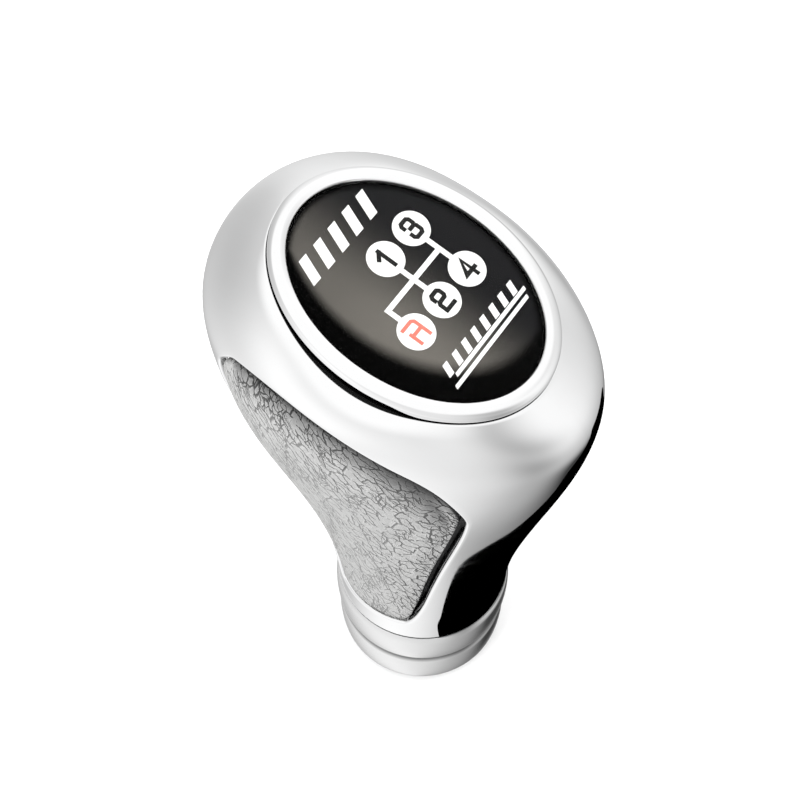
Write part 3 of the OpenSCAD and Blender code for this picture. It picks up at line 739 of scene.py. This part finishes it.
rounding.width, rounding.segments, rounding.limit_method = 0.3 * MM, 3, "ANGLE"
rounding.angle_limit = radians(50)

# %% [markdown]
# ## Leather panels
# Each panel is a skin of leather drawn over a thin carrier. It is crowned a little over its
# middle and rolls down at its edge into the gap. Its rings follow the window's loop, so the roll
# is even all the way round.

# %% The gap round the panel
PANEL_GAP, FRONT_GAP, ROLL = 0.4, 0.7, 0.9
MIDDLE = np.array([0.0, 0.62])
SINK, CROWN = 0.35, 0.8
LEATHER_FLOOR = SINK + 1.1
STARTS = np.cumsum([0] + SEGMENTS)
place = np.arange(LOOP)
front = np.clip((place - STARTS[3]) / SEGMENTS[3], 0, 1)
gaps = PANEL_GAP + FRONT_GAP * np.sin(pi * front) ** 0.5
print("gap from", round(gaps.min(), 2), "to", round(gaps.max(), 2), "mm")

# %% How much painted shade and how much crease the hide gets along the four sides of the window
side_of = np.searchsorted(STARTS, place, "right") - 1


def bell(centre, reach):
    """A smooth hill on the loop, 1 at its centre."""
    away = abs(place - centre)
    return np.exp(-0.5 * (np.minimum(away, LOOP - away) / reach) ** 2)


def round_loop(below_side, rear_side, top_side, front_side, reach=5):
    """One value for each side of the window, made smooth round the loop."""
    values, weights = np.array([below_side, rear_side, top_side, front_side])[side_of], bell(0, reach)
    return np.real(np.fft.ifft(np.fft.fft(values) * np.fft.fft(weights / weights.sum())))


at_corner = bell(STARTS[3], 9)
shade_of = round_loop(0.1, 0.15, 0.7, 0.45) + 0.35 * at_corner
shade_reach = round_loop(1.2, 1.2, 2.1, 2.0) + 2.2 * at_corner
creased_of = round_loop(0.1, 0.25, 1.0, 1.0, reach=9)
in_front = round_loop(0.0, 0.0, 0.0, 1.0, reach=2)
rolled_dark = round_loop(0.0, 0.0, 0.4, 1.0, reach=2)
print("shade from", round(shade_of.min(), 2), "to", round(shade_of.max(), 2))

# %% Rings of one panel: the crowned face, the roll at its edge, and the underside
SPAN, EDGE_SHARE = 26, 0.97


def crowned(share):
    """How high the hide stands over its edge at this share of the way out."""
    return CROWN * (1 - share ** 4)


panel_rings = []
for f in np.arange(1, SPAN + 1) / SPAN:
    panel_rings.append(ring_at(between(MIDDLE, moved_in(gaps + ROLL), f), SINK - crowned(EDGE_SHARE * f)))
for turn in np.radians(np.linspace(0, 90, 7))[1:]:
    panel_rings.append(ring_at(moved_in(gaps + ROLL * (1 - sin(turn))),
                               SINK - crowned(EDGE_SHARE) + ROLL * (1 - cos(turn))))
edge_ring = panel_rings[-1]
for f in (1.0, 0.75, 0.5, 0.25):
    panel_rings.append(ring_at(between(MIDDLE, moved_in(gaps), f), LEATHER_FLOOR - crowned(f)))
centres = below(np.array([MIDDLE, MIDDLE]), [SINK - CROWN, LEATHER_FLOOR - CROWN])
points = np.concatenate(panel_rings + [centres])
print("one panel has", len(panel_rings), "rings")

# %% The two marks, and both panels
# Painted shade: soft near the top and front edges and the front corner, dark on the wall down into the
# groove
shade, creased = [], []
for r, ring in enumerate(panel_rings):
    soft_part = shade_of * np.exp(-(np.linalg.norm(ring - edge_ring, axis=1) / shade_reach) ** 2)
    on_crest, in_groove = float(SPAN - 1 <= r <= SPAN + 2), float(r > SPAN + 2)
    shade.append(np.maximum(soft_part * (1 - in_front * on_crest), in_groove * rolled_dark))
    creased.append(creased_of * min(r / SPAN, 1.0) ** 2)
shade, creased = (np.concatenate(rows + [[0, 0]]) for rows in (shade, creased))
faces = [f[::-1] for f in strip_faces(len(panel_rings), LOOP)] + fans(len(panel_rings), LOOP)
for name, flip in (("right_leather", 1), ("left_leather", -1)):
    piece(name, points * [flip, 1, 1], [f if flip == 1 else f[::-1] for f in faces], leather,
          node=name + "_panel", merge=JOIN,
          marks={"shade": shade, "creased": creased})

# %% [markdown]
# ## The ring round the badge
# The ring is a plated lip on a thin skirt. Its section is swept round the badge's oval. The lip
# is rounded outside and crowned, with a small step down to the dome. Toward the driver the lip
# comes down onto the shell, so the shadow gap under it closes there.

# %% Points of the badge's tilted frame, a sweep round its oval, and an arc


def on_badge(x, y, z):
    return np.stack([x, BADGE_Y + y * cos(TILT) - z * sin(TILT),
                     BADGE_Z + y * sin(TILT) + z * cos(TILT)], -1)


def full_turn(count):
    return np.linspace(0, 2 * pi, count, endpoint=False)


def oval_rows(section, count):
    """Sweeps (offset, height) points round the badge's oval."""
    turn = full_turn(count)
    return np.concatenate([on_badge((BADGE_B + o) * np.cos(turn), (BADGE_A + o) * np.sin(turn),
                                    np.full(count, h)) for o, h in section])


def arc(centre, radii, first, last, count):
    turn = np.radians(np.linspace(first, last, count))
    return [(centre[0] + radii[0] * cos(a), centre[1] + radii[1] * sin(a)) for a in turn]


# %% Ring
TURNS, SEATED, LIP_EDGE, LIP_LOW = 192, 0.27, 2.2, -0.45
section = ([(0.05, LIP_UNDER - SKIRT_H), (0.05, 0.15)]
           + arc((0.35, 0.15), (0.30, 0.28), 165, 105, 5)
           + arc((1.0, 0.2), (0.75, 0.3), 120, 90, 4)
           + arc((1.0, -0.3), (1.5, 0.8), 84, 12, 12)
           + arc((2.25, -0.45), (0.25, 0.25), 10, -90, 6)
           + [(0.55, LIP_UNDER), (0.55, LIP_UNDER - SKIRT_H)])
turn = full_turn(TURNS)
to_front = np.clip((-np.sin(turn) - 0.3) / 0.25, 0, 1)
lowered = to_front ** 2 * (3 - 2 * to_front) * (SEATED + DIP * np.abs(np.cos(turn)) ** DIP_POWER)
points = oval_rows(section, TURNS).reshape(len(section), TURNS, 3)
for row, (offset, up) in enumerate(section):
    if offset > LIP_EDGE and up < LIP_LOW:
        points[row] -= np.outer(lowered, [0, -sin(TILT), cos(TILT)])
closed_faces = np.array(strip_faces(len(section) + 1, TURNS)) % (len(section) * TURNS)
piece("badge_ring", points.reshape(-1, 3), closed_faces, plating, node="bezel_ring",
      sharp=40)

# %% [markdown]
# ## The dome
# Poured resin pulls itself into a lens with a round shoulder. Rings of an oval follow that
# profile, from the crown to the edge of the plate.

# %% Clear dome
DOME_RISE, DOME_FOOT, DOME_LOW, SHOULDER, ROUND = 1.7, 0.28, -0.4, 0.965, 128
DOME_A, DOME_B = BADGE_A - 0.05, BADGE_B - 0.05
profile = [(s, DOME_RISE * (1 - s ** 2) + DOME_FOOT) for s in np.linspace(0, SHOULDER, 16)[1:]]
edge_s, edge_h = profile[-1]
profile += [(edge_s + (1 - edge_s) * sin(a), DOME_LOW + (edge_h - DOME_LOW) * cos(a) ** 0.8)
            for a in np.radians(np.linspace(15, 84, 6))] + [(1.0, DOME_LOW)]
turn = full_turn(ROUND)
rows = [on_badge(DOME_B * s * np.cos(turn), DOME_A * s * np.sin(turn), np.full(ROUND, h))
        for s, h in profile]
crown, base = (on_badge(np.zeros(1), np.zeros(1), np.full(1, h))
               for h in (DOME_RISE + DOME_FOOT, DOME_LOW))
piece("resin_dome", np.concatenate(rows + [crown, base]), strip_faces(len(rows), ROUND)
      + fans(len(rows), ROUND), resin, node="badge_dome", sharp=60)

# %% [markdown]
# ## Shift numbers
# The numbers are squared strokes with cut corners, as on printed badges. Each is drawn as lines
# on a grid of its own width and height, and every line becomes a thin printed bar with mitred
# corners. The reverse letter is a stencil: its left leg and its top don't meet.

# %% Strokes of each number, on a grid of its own width and height
STROKES = {
    "1": [[(0.58, 1.0), (0.58, 0.0)], [(0.1, 0.70), (0.56, 0.96)]],
    "2": [[(0.08, 0.72), (0.08, 0.88), (0.22, 1.0), (0.78, 1.0), (0.92, 0.88), (0.92, 0.62), (0.80, 0.52),
           (0.2, 0.5), (0.08, 0.40), (0.08, 0.0), (0.95, 0.0)]],
    "3": [[(0.08, 0.74), (0.08, 0.88), (0.22, 1.0), (0.78, 1.0), (0.92, 0.88), (0.92, 0.62), (0.8, 0.52),
           (0.4, 0.52)], [(0.8, 0.52), (0.92, 0.42), (0.92, 0.12), (0.78, 0.0), (0.22, 0.0), (0.08, 0.12),
                         (0.08, 0.26)]],
    "4": [[(0.72, 0.0), (0.72, 1.0), (0.05, 0.3), (1.0, 0.3)]],
    "R": [[(0.0, 1.0), (0.8, 1.0), (0.95, 0.88), (0.95, 0.0)], [(0.1, 0.48), (0.95, 0.48)],
          [(0.1, 0.58), (0.1, 0.0)]]}
print("glyphs", sorted(STROKES))

# %% A stroke as a bar with mitred corners


def bar_points(line, width):
    """Left and right outline points of a stroke with mitred corners."""
    line = np.array(line)
    steps = np.diff(line, axis=0)
    steps /= np.linalg.norm(steps, axis=1, keepdims=True)
    normals = np.stack([-steps[:, 1], steps[:, 0]], 1)
    left, right = [], []
    for i, p in enumerate(line):
        a, b = normals[max(i - 1, 0)], normals[min(i, len(steps) - 1)]
        mitre = (a + b) / max(1 + a @ b, 0.35)
        reach = p - steps[0] * width / 2 * (i == 0) + steps[-1] * width / 2 * (i == len(line) - 1)
        left.append(reach + mitre * width / 2)
        right.append(reach - mitre * width / 2)
    return left, right


# %% The four numbers and the reverse letter
PLATE_TOP, LIFT, INK_DEPTH = -0.5, 0.05, 0.03
PATTERN, COL, ROW = np.array([1.4, 1.2]), 6.2, 4.7


def printed(name, glyph, field, size, width, finish, node=None):
    """One number as flat bars on the badge, in the middle of its field of the pattern."""
    points, faces, lift = [], [], PLATE_TOP + LIFT
    centre = PATTERN + (field[0] * COL, field[1] * ROW)
    for k, line in enumerate(STROKES[glyph]):
        placed = [(centre[0] + (x - 0.5) * size[0], centre[1] + (y - 0.5) * size[1]) for x, y in line]
        left, right = bar_points(placed, width)
        for i in range(len(left)):
            for x, y in (left[i], right[i]):
                points += [(x, y, lift + 0.004 * k), (x, y, lift - INK_DEPTH)]
        first = len(points) - 4 * len(left)
        for i in range(len(left) - 1):
            a = first + 4 * i
            faces += [(a, a + 2, a + 6, a + 4), (a + 1, a + 5, a + 7, a + 3),
                      (a, a + 4, a + 5, a + 1), (a + 2, a + 3, a + 7, a + 6)]
        end = first + 4 * (len(left) - 1)
        faces += [(first, first + 1, first + 3, first + 2), (end, end + 2, end + 3, end + 1)]
    points = np.array(points)
    return piece(name, on_badge(*points.T), faces, finish, node=node, sharp=30)


for glyph, field in {"1": (0, 1), "2": (0, -1), "3": (1, 1), "4": (1, -1)}.items():
    printed("number_" + glyph, glyph, field, (2.0, 2.85), 0.63, black_ink)
printed("reverse_letter", "R", (-1, -1), (2.35, 2.95), 0.52, red_ink, "reverse_print")

# %% [markdown]
# ## The slanted bars
# White print stands at both ends of the badge: a row of five slanted bars, and a row of eight finer
# ones over two long strokes. Each row repeats one bar, so Geometry Nodes put a flat box on a line
# of points, shear the row and lay it on the tilted badge.

# %% A small maker for Geometry Nodes trees


class Rule:
    """A Geometry Nodes tree with named inputs for its sizes."""

    def __init__(self, name, sizes):
        self.tree = bpy.data.node_groups.new(name, "GeometryNodeTree")
        face = self.tree.interface
        face.new_socket("Geometry", in_out="INPUT", socket_type="NodeSocketGeometry")
        face.new_socket("Geometry", in_out="OUTPUT", socket_type="NodeSocketGeometry")
        self.keys, self.sizes = {}, sizes
        for title in sizes:
            socket = face.new_socket(title, in_out="INPUT", socket_type="NodeSocketFloat")
            self.keys[title] = socket.identifier
        self.source = self.tree.nodes.new("NodeGroupInput")
        self.sink = self.tree.nodes.new("NodeGroupOutput")

    def size(self, title):
        return Reading(self, self.source.outputs[title])

    make = Finish.make
    split = Finish.split

    def build(self, geometry, finish, name, body, node, smooth=True):
        """Gives the geometry its finish, runs the tree once and keeps the result as a plain mesh."""
        real = self.make("GeometryNodeRealizeInstances", {0: geometry})
        done = self.make("GeometryNodeSetMaterial", {"Geometry": real, "Material": finish.material})
        self.tree.links.new(done.socket, self.sink.inputs[0])
        item = new_item(name, bpy.data.meshes.new(name))
        modifier = item.modifiers.new(name, "NODES")
        modifier.node_group = self.tree
        for title, value in self.sizes.items():
            modifier[self.keys[title]] = value
        made = evaluated(item)
        item.modifiers.clear()
        cleaned(made)
        made.polygons.foreach_set("use_smooth", [smooth] * len(made.polygons))
        if smooth:
            made.set_sharp_from_angle(angle=radians(42))
        item.data = made
        return handed_over(item, body, node)


def vector(rule, x=0.0, y=0.0, z=0.0):
    return rule.make("ShaderNodeCombineXYZ", {0: x, 1: y, 2: z})


def placed(rule, geometry, **where):
    """Points set to a Position, or moved by an Offset."""
    return rule.make("GeometryNodeSetPosition", {"Geometry": geometry, **where})


def joined(rule, parts):
    """All parts as one geometry."""
    join = rule.tree.nodes.new("GeometryNodeJoinGeometry")
    for part in parts:
        rule.tree.links.new(part.socket, join.inputs[0])
    return Reading(rule, join.outputs[0])


def round_lever(rule, radius, turn, height):
    """A point at this radius, turn and height round the lever."""
    return vector(rule, radius * turn.math("COSINE"), radius * turn.math("SINE"), height)


# %% Rows of bars: left end, bottom, count, pitch, width and height of one bar
ROWS = [(-8.3, 10.9, 5, 3.3, 1.6, 3.7), (-7.4, -10.8, 8, 2.25, 1.0, 1.8),
        (-6.6, -11.5, 1, 1.0, 17.0, 0.55), (-8.1, -12.5, 1, 1.0, 17.7, 0.55)]
TITLES = ("Left", "Bottom", "Bars", "Pitch", "Width", "Height")
sizes = {f"{title} {k + 1}": float(value)
         for k, row in enumerate(ROWS) for title, value in zip(TITLES, row)}
bars = Rule("slanted_bars", {**sizes, "Slant": 0.43, "Ink": 0.1})
sheared = []
for k in range(len(ROWS)):
    left, bottom, count, pitch, width, height = (bars.size(f"{title} {k + 1}") for title in TITLES)
    line = bars.make("GeometryNodeMeshLine", {
        "Count": count, "Start Location": vector(bars, left + width / 2, bottom + height / 2),
        "Offset": vector(bars, pitch)}, mode="OFFSET")
    box = bars.make("GeometryNodeMeshCube", {"Size": vector(bars, width, height, bars.size("Ink"))})
    row = bars.make("GeometryNodeInstanceOnPoints", {"Points": line, "Instance": box})
    real = bars.make("GeometryNodeRealizeInstances", {0: row})
    _, y, _ = bars.split(bars.make("GeometryNodeInputPosition"))
    sheared.append(placed(bars, real, Offset=vector(bars, (y - bottom) * bars.size("Slant"))))
lift = vector(bars, z=0 - bars.size("Ink") / 2 + PLATE_TOP)
lifted = placed(bars, joined(bars, sheared), Offset=lift)
laid = bars.make("GeometryNodeTransform", {
    "Geometry": lifted, "Translation": (0, BADGE_Y * MM, BADGE_Z * MM), "Rotation": (TILT, 0, 0),
    "Scale": (MM, MM, MM)})
bars.build(laid, white_ink, "badge_bars", "knob", "stripe_print", smooth=False)

# %% [markdown]
# ## The lock collar
# The collar is turned: soft ribs between narrow valleys on a slight taper, a rounded foot, and a
# bore. Its shape follows a rule, so Geometry Nodes sweep it: a grid of turns and heights is set
# to radius by the rule. The rule's sizes are inputs of the tree.

# %% A sheet of turns and heights, and the collar's sizes
FOOT_R, TOP_R, RIB_H, VALLEY_DEPTH, FOOT_SHARE = 13.6, 14.5, 0.55, 0.35, 0.14
AROUND, UP = 160, 96
collar = Rule("turned_collar", {
    "Foot radius": FOOT_R * MM, "Top radius": TOP_R * MM, "Height": COLLAR_H * MM,
    "Rib height": RIB_H * MM, "Valley depth": VALLEY_DEPTH * MM, "Ribs": float(RIBS),
    "Foot rounding": FOOT_ROUND * MM})


def sheet(rule, across, up):
    """A flat grid, and how far along its two directions each point is."""
    grid = rule.make("GeometryNodeMeshGrid", {
        "Size X": 1.0, "Size Y": 1.0, "Vertices X": across + 1, "Vertices Y": up + 1})
    u, v, _ = rule.split(rule.make("GeometryNodeInputPosition"))
    return grid, u + 0.5, v + 0.5


grid, share, f = sheet(collar, AROUND, UP)
turn = share * (2 * pi)
print("collar sizes", list(collar.sizes))

# %% The outside: a rounded foot, then ribs and valleys on a slight taper
foot, tall = collar.size("Foot rounding"), collar.size("Height")
quarter = (f * (1 / FOOT_SHARE)).smaller(1.0) * (pi / 2)
above_foot = ((f - FOOT_SHARE) * (1 / (1 - FOOT_SHARE))).larger(0.0)
z = foot * (1 - quarter.math("COSINE")) + above_foot * (tall - foot)
low_radius = collar.size("Foot radius")
taper = low_radius + (collar.size("Top radius") - low_radius) * above_foot
wave = (above_foot * collar.size("Ribs") * pi).math("SINE").math("ABSOLUTE")
swell = collar.size("Rib height") * wave ** 0.5
valley = 1 - (wave * 2.2).smaller(1.0)
radius = (taper + swell - collar.size("Valley depth") * valley * valley
          - foot * (1 - quarter.math("SINE")))
outside = placed(collar, grid, Position=round_lever(collar, radius, turn, z))

# %% The inside, as rings of faces between (radius, height) places: foot, bore, thread and seal groove
INSIDE = [(FOOT_R - FOOT_ROUND, 0), (7.6, 0), (7.6, 3), (10.05, 3), (10.05, 12.3), (11.4, 12.3),
          (11.4, 17.9), (12.1, 17.9), (12.1, 19.1), (11.4, 19.1), (11.4, COLLAR_H),
          (TOP_R - 0.25, COLLAR_H), (TOP_R, COLLAR_H)]


def bore_wall(low, high):
    """A ring of faces from one (radius, height) place to the next."""
    wall, share, f = sheet(collar, AROUND, 1)
    reach, height = (f * ((b - a) * MM) + a * MM for a, b in zip(low, high))
    return placed(collar, wall, Position=round_lever(collar, reach, share * (2 * pi), height))


walls = [outside] + [bore_wall(*pair) for pair in zip(INSIDE, INSIDE[1:])]
collar.build(joined(collar, walls), satin, "ribbed_collar", "collar", "lock_collar")

# %% [markdown]
# ## The bush and its thread
# The brass bush shows only when the collar is unscrewed: a band with the three grub screws and,
# below it, the thread. The thread is cut inward from a 10 mm radius, so a radius rule with a
# phase that climbs one pitch each turn gives the helix.

# %% The bush's threaded stem
PITCH, BUSH_R, BUSH_LOW, THREAD_TOP, CUT_DEPTH = 1.5, 10.0, 4.0, 11.5, 0.7
thread = Rule("bush_thread", {"Pitch": PITCH * MM, "Radius": BUSH_R * MM, "Cut": CUT_DEPTH * MM,
                              "Low": BUSH_LOW * MM, "High": THREAD_TOP * MM})
BUSH_AROUND, THREAD_UP, TOOTH_SLOPE, RUN_OUT = 120, 80, 2.6, 14
grid, share, f = sheet(thread, BUSH_AROUND, THREAD_UP)
low, high = thread.size("Low"), thread.size("High")
z = low + f * (high - low)
tooth = (z / thread.size("Pitch") - share).math("FRACT")
groove = 1 - ((tooth - 0.5).math("ABSOLUTE") * TOOTH_SLOPE).smaller(1.0)
ends = (f * RUN_OUT).smaller((1 - f) * RUN_OUT).smaller(1.0)
radius = thread.size("Radius") - thread.size("Cut") * groove * ends
wall = placed(thread, grid, Position=round_lever(thread, radius, share * (2 * pi), z))
thread.build(wall, brass, "thread_of_bush", "knob", "clamp_bush")

# %% [markdown]
# The rest of the bush is a plain turned part, so its section of (radius, height) places is swept
# round the lever. The section steps in behind the thread, and three holes let the grub screws
# reach the sleeve.

# %% The bush's lower face, the band with three screw holes, and the stem
BUSH = [(7.25, 4.6), (7.85, 4.0), (10.0, 4.0), (9.2, 4.05), (9.2, 11.45), (10.0, 11.5), (9.3, 11.7),
        (9.3, 12.9), (10.2, 13.1), (10.9, 13.3), (10.9, 20.1), (10.7, 20.3), (9.0, 20.3),
        (9.0, 43.3), (7.25, 43.3)]
HOLE_R, HOLE_Z, HOLE_START, HOLE_DEPTH, HOLE_ANGLES = 2.05, 16.7, 6.0, 6.0, (-90, 30, 150)
points = [(r * cos(a), r * sin(a), z) for r, z in BUSH + BUSH[:1] for a in full_turn(BUSH_AROUND)]
holes = [(radians(a), HOLE_START, HOLE_Z) for a in HOLE_ANGLES]
piece("lever_bush", points, strip_faces(len(BUSH) + 1, BUSH_AROUND), brass, node="clamp_bush",
      sharp=30, merge=2e-6, holes=(HOLE_R, HOLE_DEPTH, holes))

# %% [markdown]
# ## Floor and light
# A pale floor and soft light from a big bright room, as in a catalogue photo. The room is a world
# colour that is a little darker toward the driver, low on the right and behind, so the plating
# shows soft grey bands. A dark card beside the knob, seen only in reflections, gives the black
# patch low on the nose.

# %% Floor
HALF_FLOOR = 2000


def flat_shape(name, corners, height, finish):
    """One flat face through (x, y) corners at a height."""
    mesh = bpy.data.meshes.new(name)
    mesh.from_pydata([(x * MM, y * MM, height * MM) for x, y in corners], [],
                     [tuple(range(len(corners)))])
    mesh.materials.append(finish.material)
    return new_item(name, mesh)


pale = Finish("pale_floor", Roughness=0.9, Specular_IOR_Level=0.2)
pale.feed("Base Color", pale.blend(pale.noise(pale.place(), 0.02), grey(0.90), grey(0.93)))
corners = [(x * HALF_FLOOR, y * HALF_FLOOR) for x, y in ((-1, -1), (1, -1), (1, 1), (-1, 1))]
floor = flat_shape("floor", corners, 0, pale)
floor.visible_glossy = False
print("floor is", 2 * HALF_FLOOR * MM, "m wide")

# %% A card that only reflections see: its outline is a smooth curve through a few places
CARD_Z = 20.5
HELD = [(-9.5, -9.5), (-12, -13), (-12, -17.5), (-5.5, -23), (4.5, -28), (12, -35), (18.5, -46),
        (30, -56), (46, -74), (78, -112), (112, -88), (92, -58), (70, -42), (57, -27), (45, -14),
        (8, 2)]


def through(spots, steps=8):
    """A closed smooth curve through the given places, a cubic piece between each two."""
    spots = np.array(spots, float)
    a, b, c, d = (np.roll(spots, -k, 0)[:, None] for k in (-1, 0, 1, 2))
    t = np.linspace(0, 1, steps, endpoint=False)[None, :, None]
    curve = 0.5 * (2 * b + (c - a) * t + (2 * a - 5 * b + 4 * c - d) * t ** 2
                   + (3 * b - a - 3 * c + d) * t ** 3)
    return curve.reshape(-1, 2)


dark = Finish("dark_card", Roughness=1.0, Base_Color=grey(0.0), Specular_IOR_Level=0.0,
              Emission_Color=grey(0.0), Emission_Strength=1.0)
card = flat_shape("dark_card", through(HELD), CARD_Z, dark)
for way in ("visible_camera", "visible_diffuse", "visible_transmission", "visible_shadow"):
    setattr(card, way, False)
print("card has", len(card.data.vertices), "corners")

# %% [markdown]
# The room is a world shader. Each soft light or dark flag on its wall is a hill over two angles:
# the way round, from the driver toward the right, and the way up. Their sum gives the plating its
# pale and grey bands, and straight above it is an even bright ceiling.

# %% The room


class Room(Finish):
    """The world's shader, built with the same maker as the finishes."""

    def __init__(self):
        self.world = bpy.data.worlds.new("pale_room")
        self.world.use_nodes = True
        self.tree = self.world.node_tree
        self.back = self.tree.nodes["Background"]


room = Room()
scene.world = room.world
x, y, z = room.split(room.make("ShaderNodeTexCoord", out="Generated"))
compass = x.math("ARCTAN2", 0 - y) * (180 / pi)
tall = z.math("ARCSINE") * (180 / pi)


def soft(azimuth, elevation, width, height, strength):
    """One soft light, or a flag if its strength is negative, on the room's wall. In degrees."""
    turn = (compass - azimuth).math("WRAP", 180.0, -180.0) / width
    lift = (tall - elevation) / height
    return (0 - turn * turn - lift * lift).math("EXPONENT") * strength


WALL_LIGHTS = [(-100, 29, 26, 24, 0.22), (-100, -90, 80, 120, 0.69), (-13, 1, 18, 47, -0.39),
               (4, 40, 17, 25, -0.53), (13, 37, 41, 46, 0.47), (93, -13, 16, 22, -0.39),
               (98, 83, 22, 100, 1.0), (-163, 18, 39, 42, -0.19), (135, -11, 15, 120, 0.24),
               (60, -58, 45, 16, -0.5)]
WALL, WALL_SLOPE, CEILING = 0.55, 0.23 / 90, 1.05
light = WALL + tall * WALL_SLOPE
for wall_light in WALL_LIGHTS:
    light = light + soft(*wall_light)
light = light.larger(0.05).smaller(1.1)
above = tall.ramp(48, 62)
light = light * (1 - above) + CEILING * above
tone = room.make("ShaderNodeCombineXYZ", {0: light, 1: light, 2: light})
room.tree.links.new(tone.socket, room.back.inputs["Color"])
print("room has", len(WALL_LIGHTS), "soft lights and flags")

# %% [markdown]
# Two big lamps add what the room alone lacks: a soft shadow to one side, and an even fill from
# above. They are kept out of reflections, where their square shape would show. Their places and
# sizes are in metres.

# %% Two big soft lamps


def lamp(name, spot, aim, size, power):
    data = bpy.data.lights.new(name, "AREA")
    data.shape, data.size, data.size_y, data.energy = "RECTANGLE", size[0], size[1], power
    item = new_item(name, data)
    item.location = spot
    item.rotation_euler = (Vector(aim) - Vector(spot)).to_track_quat("-Z", "Y").to_euler()
    item.visible_glossy = False
    print(name, "lamp of", power, "W")


lamp("key", (-0.8, 0.25, 0.35), (0, 0, 0.06), (0.5, 0.4), 6.0)
lamp("fill", (0.1, 0.0, 1.0), (0, 0, 0.0), (1.2, 1.2), 9.0)
